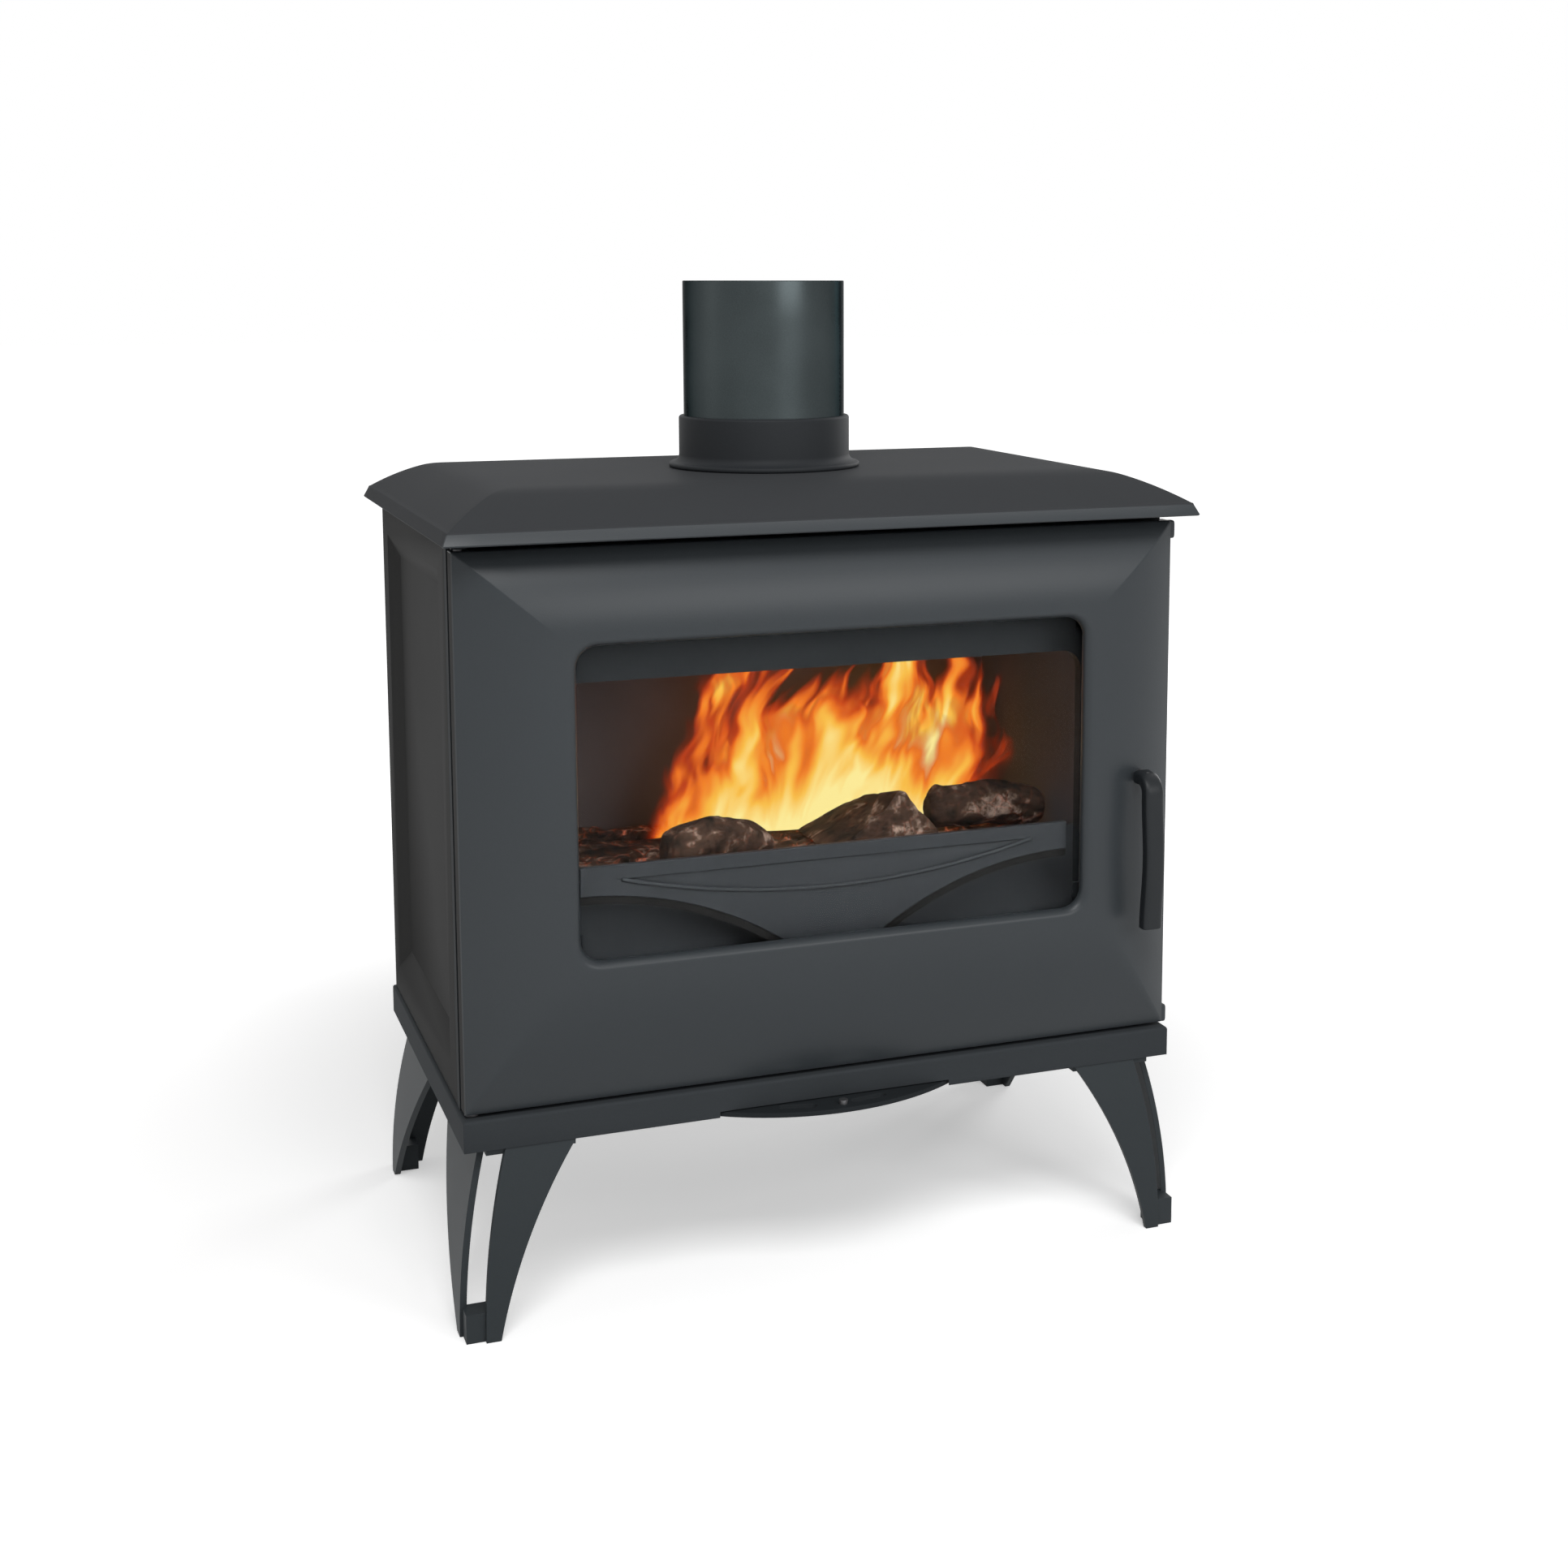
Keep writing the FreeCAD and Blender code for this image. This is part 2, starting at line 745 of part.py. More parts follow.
# fire box
x_floor = x_inner - d.hearth_slack
y_floor = y_frame_back + d.fence_wall + d.hearth_slack
y_floor_back = y_chamber_back - d.hearth_slack
y_grate = y_middle + d.grate_centre
half_grate = half(d.grate_length)
half_grate_depth = half(d.grate_depth)
hearth = box(-x_floor, x_floor, y_floor, y_floor_back, z_hearth, z_fire)
hearth_hole = box(d.hearth_hole_inset - half_grate, half_grate - d.hearth_hole_inset,
                  y_grate - half_grate_depth + d.hearth_hole_inset,
                  y_grate + half_grate_depth - d.hearth_hole_inset, z_hearth, z_fire)
name(cut(hearth, hearth_hole, *rod_posts(z_hearth, d.hearth_wall, d.rod_hole_radius)), "hearth_plate")

grate = box(-half_grate, half_grate, y_grate - half_grate_depth, y_grate + half_grate_depth,
            z_fire, z_fire + d.grate_wall)
GRATE_SHARES = (-0.375, -0.25, -0.125, 0.0, 0.125, 0.25, 0.375)
grate_slots = [box(d.grate_length * share - half(d.grate_slot), d.grate_length * share + half(d.grate_slot),
                   y_grate - half_grate_depth + d.grate_border, y_grate + half_grate_depth - d.grate_border,
                   z_fire, z_fire + d.grate_wall) for share in GRATE_SHARES]
name(cut(grate, *grate_slots), "grate")

y_liner = y_frame_back + d.liner_front_gap
z_liner = z_fire + d.liner_height
name(box(-x_floor, d.liner_wall - x_floor, y_liner, y_floor_back - d.liner_wall, z_fire, z_liner), "liner_left")
name(box(x_floor - d.liner_wall, x_floor, y_liner, y_floor_back - d.liner_wall, z_fire, z_liner), "liner_right")
name(box(d.liner_wall - x_floor, x_floor - d.liner_wall, y_floor_back - d.liner_wall, y_floor_back,
         z_fire, z_liner), "liner_back")
name(box(-x_floor, x_floor, y_frame_back + d.baffle_throat, y_floor_back - d.baffle_back_gap,
         z_liner, z_liner + d.baffle_wall), "baffle_plate")

half_pan = half(d.pan_width)
y_pan = y_grate - half(d.pan_depth)
z_pan = z_body + d.rail_height
pan = box(-half_pan, half_pan, y_pan, y_pan + d.pan_depth, z_pan, z_pan + d.pan_height)
pan_hollow = box(d.pan_wall - half_pan, half_pan - d.pan_wall, y_pan + d.pan_wall,
                 y_pan + d.pan_depth - d.pan_wall, z_pan + d.pan_wall, z_pan + d.pan_height)
name(cut(pan, pan_hollow), "ash_pan")
name(group(*[box(half_pan * side - half(d.rail_width), half_pan * side + half(d.rail_width),
                 y_pan, y_pan + d.pan_depth, z_body, z_pan) for side in (-HALF_SHARE, HALF_SHARE)]),
     "pan_rails")

z_fence = z_body + d.fence_low
name(box(-x_mouth - d.fence_lap, x_mouth + d.fence_lap, y_frame_back, y_frame_back + d.fence_wall,
         z_fence, z_fence + d.fence_height), "ash_fence")


# log guard
z_window = z_door + d.door_low_border + d.window_low_margin
z_window_top = z_door_top - d.door_high_border - d.window_high_margin
half_window = half_width - d.door_side_border - d.window_side_margin
y_guard_back = y_frame_back - d.guard_gap


def make_guard():
    half_guard = half_window - d.guard_side_gap
    z_high = z_window + d.guard_high
    z_end = z_high - d.guard_end
    foot = half(d.guard_foot)
    r = bow_radius(half_guard - foot, d.guard_drop)
    plate = prism("XZ_Plane", [
        (-half_guard, z_end), (-foot, z_end - d.guard_drop, r, -1), (foot, z_end - d.guard_drop),
        (half_guard, z_end, r, -1), (half_guard, z_high), (-half_guard, z_high)], y_guard_back, d.guard_wall)
    reach = half_guard - d.guard_field_inset
    z_field = z_high - d.guard_field_drop
    field = prism("XZ_Plane", [
        (-reach, z_field), (reach, z_field, bow_radius(reach, d.guard_field_sag), 1)],
        y_guard_back - d.guard_wall + d.guard_field_sink, d.guard_field_sink)
    return cut(plate, field)


name(make_guard(), "log_guard")
name(group(*[rod("y", d.spacer_side_gap * side, y_guard_back, z_window + d.spacer_low, d.spacer_radius,
                 d.guard_gap) for side in (-HALF_SHARE, HALF_SHARE)]), "guard_spacers")


# ember bed and logs
half_bed = x_floor - d.liner_wall - d.bed_side_gap
y_bed = y_floor + d.bed_front_gap
y_bed_back = y_floor_back - d.liner_wall - d.bed_back_gap
z_bed = z_fire + d.bed_height
bed = frustum((AXIS_X, QUARTER), (-half_bed, -y_bed_back), (half_bed, -y_bed), d.bed_slope, d.bed_height)
grate_room = box(-half_grate, half_grate, y_grate - half_grate_depth, y_grate + half_grate_depth,
                 z_fire, z_fire + d.grate_wall)
name(cut(place(bed, 0, 0, z_fire), grate_room), "ember_bed")


def make_log(radius, length, angle, x, y):
    stick = rod("x", -half(length), 0, 0, radius, length)
    return turned(stick, angle, x, y, z_bed + radius)


x_log_right = half_bed - d.log_right_gap - half(d.log_right_length)
x_split_far = x_log_right - half(d.log_right_length) - d.split_gap
x_split = x_split_far - d.split_width
x_peak = half(x_split + x_split_far) + d.split_lean
x_log_left = x_split - d.log_left_gap - half(d.log_left_length)
left_turn, right_turn = LOG_TURN_SHARES
name(make_log(d.log_left_radius, d.log_left_length, left_turn, x_log_left, y_bed + d.log_left_front),
     "log_left")
name(make_log(d.log_right_radius, d.log_right_length, right_turn, x_log_right, y_bed + d.log_right_front),
     "log_right")
name(prism("XZ_Plane", [(x_split, z_bed), (x_split_far, z_bed), (x_peak, z_bed + d.split_height)],
           y_bed + d.split_front + d.split_length, d.split_length), "log_split")


# legs
def make_leg(x_side, y_side):
    x_foot = base_half + d.leg_side_flare
    x_high = base_half - d.leg_side_inset
    y_edge = y_base_front if y_side < 0 else y_base_back
    y_foot = y_edge + d.leg_end_flare * y_side
    y_high = y_edge - d.leg_end_inset * y_side
    height = d.leg_height
    side_r = bow_radius(height, x_foot - x_high)
    end_r = bow_radius(height, d.leg_end_flare + d.leg_end_inset)

    def strip(foot, high, side, radius):
        wall = d.leg_wall * side
        return [(foot, 0), (high, height, radius, side), (high - wall, height), (foot - wall, 0, radius, -side)]

    def blade(foot, high, side, radius):
        slit = d.leg_slit * side
        inner_r = inner_radius((foot - high) * side)
        low = foot - slit
        top = high - slit
        return [(low, 0), (top, height, radius, side), (top - d.leg_top_width * side, height),
                (low - d.leg_foot_width * side, 0, inner_r, -side)]

    def straight_blade(foot, high, side, radius):
        slit = d.leg_slit * side
        low = foot - slit
        top = high - slit
        return [(low, 0), (top, height, radius, side), (top - d.leg_side_top_width * side, height),
                (low - d.leg_foot_width * side, 0)]

    def inner_radius(flare):
        return chord_radius(height, flare + d.leg_top_width - d.leg_foot_width, d.leg_inner_bow)

    reach = d.leg_side_top_width + d.leg_top_width
    y_start = y_edge + reach if y_side < 0 else y_edge + d.leg_top_width
    side_strip = prism("XZ_Plane", strip(x_foot * x_side, x_high * x_side, x_side, side_r),
                       y_start, reach + d.leg_top_width)
    end_blade = prism("XZ_Plane", blade(x_foot * x_side, x_high * x_side, x_side, side_r),
                      y_start, reach + d.leg_top_width)
    x_start = (x_high - reach) if x_side > 0 else -x_foot - d.leg_top_width
    end_strip = prism("YZ_Plane", strip(y_foot, y_high, y_side, end_r), x_start, reach + d.leg_top_width)
    side_blade = prism("YZ_Plane", straight_blade(y_foot, y_high, y_side, end_r), x_start,
                       reach + d.leg_top_width)
    side_flange = common(side_strip, side_blade)
    end_flange = common(end_strip, end_blade)
    x_low = (x_foot - d.leg_slit - d.leg_wall) if x_side > 0 else d.leg_wall * HALF_SHARE - x_foot
    x_far = (x_foot - d.leg_wall * HALF_SHARE) if x_side > 0 else d.leg_slit + d.leg_wall - x_foot
    y_near = y_foot + d.leg_web_sink if y_side < 0 else y_foot - d.leg_slit - d.leg_wall
    y_far = y_foot + d.leg_slit + d.leg_wall if y_side < 0 else y_foot - d.leg_web_sink
    web = box(x_low, x_far, y_near, y_far, as_size(0), d.leg_web_height)
    x_plate = (x_high - d.leg_top_width - d.leg_slit) if x_side > 0 else d.leg_wall * HALF_SHARE - x_high
    x_plate_far = (x_high - d.leg_wall * HALF_SHARE) if x_side > 0 else d.leg_top_width + d.leg_slit - x_high
    y_plate = y_high + d.leg_wall * HALF_SHARE if y_side < 0 else y_high - d.leg_top_width - d.leg_slit
    y_plate_far = y_high + d.leg_top_width + d.leg_slit if y_side < 0 else y_high - d.leg_wall * HALF_SHARE
    plate = box(x_plate, x_plate_far, y_plate, y_plate_far, height - d.leg_plate_wall, height)
    hole = rod("z", half(x_plate + x_plate_far), half(y_plate + y_plate_far), height - d.leg_plate_wall,
               d.leg_bolt_radius, d.leg_plate_wall)
    LEG_BOLTS.append((half(x_plate + x_plate_far), half(y_plate + y_plate_far)))
    return cut(fuse(side_flange, end_flange, web, plate), hole)


LEG_BOLTS = []
name(make_leg(-1, -1), "leg_front_left")
name(make_leg(1, -1), "leg_front_right")
name(make_leg(-1, 1), "leg_back_left")
name(make_leg(1, 1), "leg_back_right")
leg_bolts = []
z_bolt = z_base - d.leg_plate_wall
for x_bolt, y_bolt in LEG_BOLTS:
    shank = rod("z", x_bolt, y_bolt, z_bolt, d.leg_bolt_radius, d.leg_plate_wall)
    head = rod("z", x_bolt, y_bolt, z_bolt - d.leg_bolt_head_height, d.leg_bolt_head, d.leg_bolt_head_height)
    leg_bolts.append(fuse(shank, head))
name(group(*leg_bolts), "leg_bolts")


# door
def pillow_plan(inset, wall, back, rise_share):
    """Plan outline of the door, or of its hollow when inset and wall are given."""
    x_edge = half_width - inset
    x_flat = half_width - d.door_side_border
    run = d.door_side_border - inset
    rise = d.door_pillow * rise_share(d.door_side_border, inset)
    y_flat = y_face + wall
    r = bow_radius(run, rise)
    return [(x_edge, back), (-x_edge, back), (-x_edge, y_flat + rise), (-x_flat, y_flat, r, 1),
            (x_flat, y_flat), (x_edge, y_flat + rise, r, 1)]


def pillow_side(inset, wall, back, rise_share):
    z_edge = z_door + inset
    z_edge_top = z_door_top - inset
    z_flat = z_door + d.door_low_border
    z_flat_top = z_door_top - d.door_high_border
    low_rise = d.door_pillow * rise_share(d.door_low_border, inset)
    high_rise = d.door_pillow * rise_share(d.door_high_border, inset)
    y_flat = y_face + wall
    return [(back, z_edge), (back, z_edge_top), (y_flat + high_rise, z_edge_top),
            (y_flat, z_flat_top, bow_radius(d.door_high_border - inset, high_rise), 1),
            (y_flat, z_flat), (y_flat + low_rise, z_edge, bow_radius(d.door_low_border - inset, low_rise), 1)]


def inner_share(border, inset):
    return (border - inset) / border * ((border - inset) / border)


def full_share(border, inset):
    return as_size(1.0)


x_spindle = half_width - d.handle_side_inset
z_spindle = z_door_top - d.handle_drop
bush_radius = d.spindle_radius + d.bush_wall
y_nut_back = y_frame - d.nut_frame_gap
y_cam_back = y_nut_back - d.nut_height
y_cam = y_cam_back - d.cam_thickness
y_keeper_lip = y_cam - d.cam_lip_gap - d.keeper_lip
y_bush_back = y_keeper_lip - d.cam_lip_gap - d.cam_lip_gap
x_clip = half_window + d.glass_overlap + d.clip_boss_radius
z_clips = (z_window + d.clip_width, z_window_top - d.clip_width)
y_glass = y_face + d.door_wall + d.gasket_thickness
y_glass_back = y_glass + d.glass_thickness


def at_clips(make):
    return [make(side, z) for side in (-1, 1) for z in z_clips]


def make_door():
    outer = common(
        prism("XY_Plane", pillow_plan(as_size(0), as_size(0), y_door_back, full_share), z_door, d.door_height),
        prism("YZ_Plane", pillow_side(as_size(0), as_size(0), y_door_back, full_share), -half_width,
              d.body_width))
    rim = d.door_rim_width
    hollow = common(
        prism("XY_Plane", pillow_plan(rim, d.door_wall, y_door_back, inner_share), z_door, d.door_height),
        prism("YZ_Plane", pillow_side(rim, d.door_wall, y_door_back, inner_share), -half_width, d.body_width))
    window = prism("XZ_Plane", round_rect(-half_window, half_window, z_window, z_window_top, d.window_corner),
                   y_door_back, d.door_rim_depth + d.door_pillow)
    boss = rod("y", x_spindle, y_rim - half(d.door_pillow), z_spindle, d.bush_boss_radius,
               y_bush_back - y_rim + half(d.door_pillow))
    clip_bosses = at_clips(lambda side, z: rod(
        "y", x_clip * side, y_face + half(d.door_wall), z, d.clip_boss_radius,
        y_glass_back - y_face - half(d.door_wall)))
    nubs = [box(half_width, half_width + d.door_nub, y_rim, y_rim + d.door_rim_depth * HALF_SHARE, low,
                low + d.door_nub_height) for low in (z_door, z_door_top - d.door_nub_height)]
    solid = fuse(cut(outer, hollow), boss, *clip_bosses, *nubs)
    bore = rod("y", x_spindle, y_face, z_spindle, bush_radius, y_door_back - y_face)
    low = d.rope_inset
    high = d.rope_inset + d.rope_width
    groove = ring(rect(low - half_width, half_width - low, z_door + low, z_door_top - low),
                  rect(high - half_width, half_width - high, z_door + high, z_door_top - high),
                  y_door_back, d.rope_depth)
    pin_holes = [rod("z", x_hinge, y_hinge, z, d.hinge_radius + d.running_slack, d.hinge_hold + d.end_slack)
                 for z in (z_door, z_door_top - d.hinge_hold - d.end_slack)]
    screw_holes = at_clips(lambda side, z: rod(
        "y", x_clip * side, y_glass_back - d.clip_boss_radius, z, d.clip_screw_radius, d.clip_boss_radius))
    return cut(solid, window, bore, groove, *pin_holes, *screw_holes)


name(make_door(), "door")

x_glass = half_window + d.glass_overlap
z_glass = z_window - d.glass_overlap
z_glass_top = z_window_top + d.glass_overlap
name(box(-x_glass, x_glass, y_glass, y_glass_back, z_glass, z_glass_top), "door_glass")
tape = d.gasket_width
name(ring(rect(-x_glass, x_glass, z_glass, z_glass_top),
          rect(tape - x_glass, x_glass - tape, z_glass + tape, z_glass_top - tape),
          y_glass, d.gasket_thickness), "glass_gasket")


def make_clip(side, z):
    middle = x_clip * side - d.clip_boss_radius * HALF_SHARE * side
    plate = box(middle - half(d.clip_length), middle + half(d.clip_length), y_glass_back,
                y_glass_back + d.clip_thickness, z - half(d.clip_width), z + half(d.clip_width))
    hole = rod("y", x_clip * side, y_glass_back, z, d.clip_screw_radius, d.clip_thickness)
    return cut(plate, hole)


def make_clip_screw(side, z):
    shank = rod("y", x_clip * side, y_glass_back - d.clip_boss_radius, z, d.clip_screw_radius,
                d.clip_boss_radius + d.clip_thickness)
    head = rod("y", x_clip * side, y_glass_back + d.clip_thickness, z, d.clip_screw_head,
               d.clip_screw_head_height)
    return fuse(shank, head)


name(group(*at_clips(make_clip)), "glass_clips")
name(group(*at_clips(make_clip_screw)), "clip_screws")

rope_low = d.rope_inset + d.rope_side_slack
rope_high = d.rope_inset + d.rope_width - d.rope_side_slack
rope_back = y_frame - d.rope_frame_gap
name(ring(rect(rope_low - half_width, half_width - rope_low, z_door + rope_low, z_door_top - rope_low),
          rect(rope_high - half_width, half_width - rope_high, z_door + rope_high, z_door_top - rope_high),
          rope_back, rope_back - y_door_back + d.rope_depth), "door_rope")

# hinge
name(rod("z", x_hinge, y_hinge, z_body - d.hinge_seat, d.hinge_radius,
         d.hinge_seat + d.door_low_gap + d.hinge_hold), "hinge_pin_bottom")
name(rod("z", x_hinge, y_hinge, z_door_top - d.hinge_hold, d.hinge_radius,
         z_lid - z_door_top + d.hinge_hold), "hinge_pin_top")
washer = rod("z", x_hinge, y_hinge, z_body, d.washer_radius, d.door_low_gap - d.end_slack)
name(cut(washer, rod("z", x_hinge, y_hinge, z_body, d.hinge_radius, d.door_low_gap)), "hinge_washer")

# handle
y_lever_front = y_rim - d.handle_reach
y_lever_back = y_lever_front + d.lever_bow + d.lever_thickness
y_arm = y_face + d.door_pillow - d.lever_clearance
z_arm_top = z_spindle + half(d.lever_arm)
z_arm_low = z_spindle - half(d.lever_arm)
z_lever_low = z_spindle - d.lever_length
half_lever = half(d.lever_width)


def make_lever():
    body = new_body()
    chord = half(z_arm_top - z_lever_low)
    inner = half(z_arm_low - z_lever_low)
    y_bow = y_lever_front + d.lever_bow
    outline = [
        (y_arm, z_arm_low), (y_arm, z_arm_top), (y_bow, z_arm_top),
        (y_bow, z_lever_low, bow_radius(chord, d.lever_bow), 1),
        (y_lever_back, z_lever_low),
        (y_lever_back, z_arm_low, bow_radius(inner, d.lever_bow), -1)]
    pad(body, add_sketch(body, "YZ_Plane", outline, x_spindle - half_lever), d.lever_width)
    middle = half(y_bow + y_lever_back).value
    rounded(body, lambda e: e.BoundBox.YMax < middle, d.lever_round)
    return body


spindle_hole = rod("y", x_spindle, y_arm - d.lever_arm * HALF_SHARE, z_spindle, d.spindle_radius,
                   d.lever_arm * HALF_SHARE)
name(cut(make_lever(), spindle_hole), "handle_lever")
name(rod("y", x_spindle, y_arm - d.lever_arm * HALF_SHARE, z_spindle, d.spindle_radius,
         y_cam_back + d.nut_height - y_arm + d.lever_arm * HALF_SHARE), "handle_spindle")
bush = rod("y", x_spindle, y_rim - half(d.door_pillow), z_spindle, bush_radius,
           y_bush_back - y_rim + half(d.door_pillow))
name(cut(bush, rod("y", x_spindle, y_face, z_spindle, d.spindle_radius + d.running_slack,
                   y_door_back - y_face)), "handle_bush")
cam_hub = rod("y", x_spindle, y_cam, z_spindle, d.cam_radius, d.cam_thickness)
cam_tongue = box(x_spindle - half(d.cam_width), x_spindle + half(d.cam_width), y_cam, y_cam_back,
                 z_spindle, z_spindle + d.cam_reach)
name(cut(fuse(cam_hub, cam_tongue), rod("y", x_spindle, y_cam, z_spindle, d.spindle_radius, d.cam_thickness)),
     "latch_cam")
nut = rod("y", x_spindle, y_cam_back, z_spindle, d.nut_radius, d.nut_height)
name(cut(nut, rod("y", x_spindle, y_cam_back, z_spindle, d.spindle_radius, d.nut_height)), "cam_nut")

# register
register = rod("z", 0, y_register, z_base, d.register_radius, d.register_wall)
pivot = rod("z", 0, y_register, z_base, d.register_bolt_radius + d.running_slack, d.register_wall)


def finger_slot(turn_share):
    body = new_body()
    outline = slot_across(d.register_slot_length, d.register_slot_width,
                          d.register_slot_inset - d.register_radius)
    pad(body, add_sketch(body, "XY_Plane", outline, 0, turn_share), d.register_wall)
    return place(body, 0, y_register, z_base)


disc = cut(register, pivot, air_slots(z_base, d.register_wall, AIR_DISC_TURN_SHARE),
           *[finger_slot(turn_share) for turn_share in SLOT_TURN_SHARES])
name(disc, "register_disc")
name(rod("z", 0, y_register - d.register_radius + d.register_knob_inset, z_base + d.register_wall,
         d.register_knob_radius, d.register_knob_height), "register_knob")
bolt_shank = rod("z", 0, y_register, z_base - d.end_slack, d.register_bolt_radius,
                 d.base_thickness * HALF_SHARE)
bolt_head = rod("z", 0, y_register, z_base - d.end_slack - d.register_head_height, d.register_head_radius,
                d.register_head_height)
name(fuse(bolt_shank, bolt_head), "register_bolt")

# latch keeper on the frame
x_keeper = half_width - d.keeper_side
z_keeper = z_spindle - half(d.keeper_height)
z_keeper_top = z_spindle + half(d.keeper_height)
keeper_post = box(x_keeper, x_keeper + d.keeper_post, y_keeper_lip, y_frame, z_keeper, z_keeper_top)
keeper_lip = box(x_keeper, x_keeper + d.keeper_post + d.keeper_hook, y_keeper_lip,
                 y_keeper_lip + d.keeper_lip, z_keeper, z_keeper_top)
name(fuse(keeper_post, keeper_lip), "latch_keeper")

doc.recompute()
os.makedirs("parts", exist_ok=True)
for obj in doc.Objects:
    if "Invalid" in obj.State or "Error" in obj.State:
        raise SystemExit("broken feature: %s %s" % (obj.Name, obj.State))
for node, obj in PARTS.items():
    shape = obj.Shape
    if shape.isNull() or not shape.isValid():
        raise SystemExit("bad shape: " + node)
    shape.exportStep("parts/%s.step" % node)
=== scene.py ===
"""Looks of a cast iron wood stove with a hipped pillow door, a crowned lid, a flue pipe and a fire inside."""

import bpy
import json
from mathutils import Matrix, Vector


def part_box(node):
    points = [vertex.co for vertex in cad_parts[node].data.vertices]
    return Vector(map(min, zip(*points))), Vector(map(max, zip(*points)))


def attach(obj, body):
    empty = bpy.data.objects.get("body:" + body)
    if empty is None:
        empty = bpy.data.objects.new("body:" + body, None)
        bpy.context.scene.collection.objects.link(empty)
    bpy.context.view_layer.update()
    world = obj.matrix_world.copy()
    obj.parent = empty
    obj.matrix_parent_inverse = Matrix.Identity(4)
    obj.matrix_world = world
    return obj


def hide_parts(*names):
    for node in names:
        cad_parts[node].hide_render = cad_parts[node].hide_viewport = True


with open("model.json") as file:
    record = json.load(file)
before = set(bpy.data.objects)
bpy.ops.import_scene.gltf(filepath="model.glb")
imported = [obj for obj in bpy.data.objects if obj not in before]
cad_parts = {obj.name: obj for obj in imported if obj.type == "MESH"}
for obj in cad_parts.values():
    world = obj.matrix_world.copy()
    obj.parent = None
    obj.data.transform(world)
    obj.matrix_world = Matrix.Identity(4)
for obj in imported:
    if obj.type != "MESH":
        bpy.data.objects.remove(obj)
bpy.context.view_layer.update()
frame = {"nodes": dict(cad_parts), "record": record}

import json
import logging
import math
from dataclasses import dataclass, field
from enum import Enum

import bmesh
import bpy
import numpy as np

LOG = logging.getLogger("stove")
MM = 0.001
WELD = 0.002 * MM
LEAST_RADIUS = 0.2 * MM
PHOTO_SIDE = 1932


class Body(Enum):
    """The bodies that carry pieces without a CAD node."""

    STOVE = "stove"
    DOOR = "door_leaf"


class Slot(Enum):
    """Names of material slots for pieces without a CAD node; no piece in this script is given one."""

    IRON_BODY = "iron_body"
    EMBERS = "embers"


class Axis(Enum):
    """The way in which flat outlines or a turned profile are stacked."""

    UPRIGHT = "z"
    DEPTH = "y"


def span(node: str) -> tuple[np.ndarray, np.ndarray]:
    """Gives the lowest and highest corner of a CAD node in metres.

    Args:
        node: name of the CAD node.

    Returns:
        Two arrays of three numbers.
    """
    low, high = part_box(node)
    return np.array(low), np.array(high)


def body_of(node: str) -> str:
    """Gives the name of the body that a CAD node belongs to."""
    bodies = frame["record"]["behaviour"]["bodies"]
    return next(body for body, members in bodies.items() if node in members)


def steps(count: int) -> np.ndarray:
    """Gives even shares up to one, without zero."""
    return np.linspace(0.0, 1.0, count + 1)[1:]


def round_angles(count: int) -> np.ndarray:
    """Gives even angles once round a circle."""
    return np.linspace(0.0, 2 * math.pi, count, endpoint=False)


def squared(wave: np.ndarray, power: float) -> np.ndarray:
    """Squares a circle's cosine or sine up: its size to a power below one, with its sign."""
    return np.sign(wave) * np.abs(wave) ** power


def arc_points(centre: tuple[float, float], radius: float, start_deg: float, stop_deg: float,
               count: int = 7) -> np.ndarray:
    """Gives points on a circle's arc: centre + radius (cos a, sin a)."""
    angle = np.radians(np.linspace(start_deg, stop_deg, count))
    return np.array(centre) + radius * np.stack([np.cos(angle), np.sin(angle)], -1)


def wave_noise(p: np.ndarray, seed: int, octaves: int = 4) -> np.ndarray:
    """Smooth noise in about -1..1: a sum of sines along random directions, each octave finer and weaker.

    Args:
        p: array of points by three, in units of the longest wave.
        seed: picks the directions.
        octaves: how many layers are added.

    Returns:
        One value for each point.
    """
    waves, pace, level, fade_share = 6, 2.2, 1.6, 0.55
    rng = np.random.default_rng(seed)
    total = np.zeros(p.shape[:-1])
    for octave in range(octaves):
        ways = rng.normal(size=(waves, 3)) * 2.0 ** octave * pace
        phases = rng.uniform(0.0, 2 * math.pi, waves)
        total += np.sin(p @ ways.T + phases).mean(-1) * level * fade_share ** octave
    return total


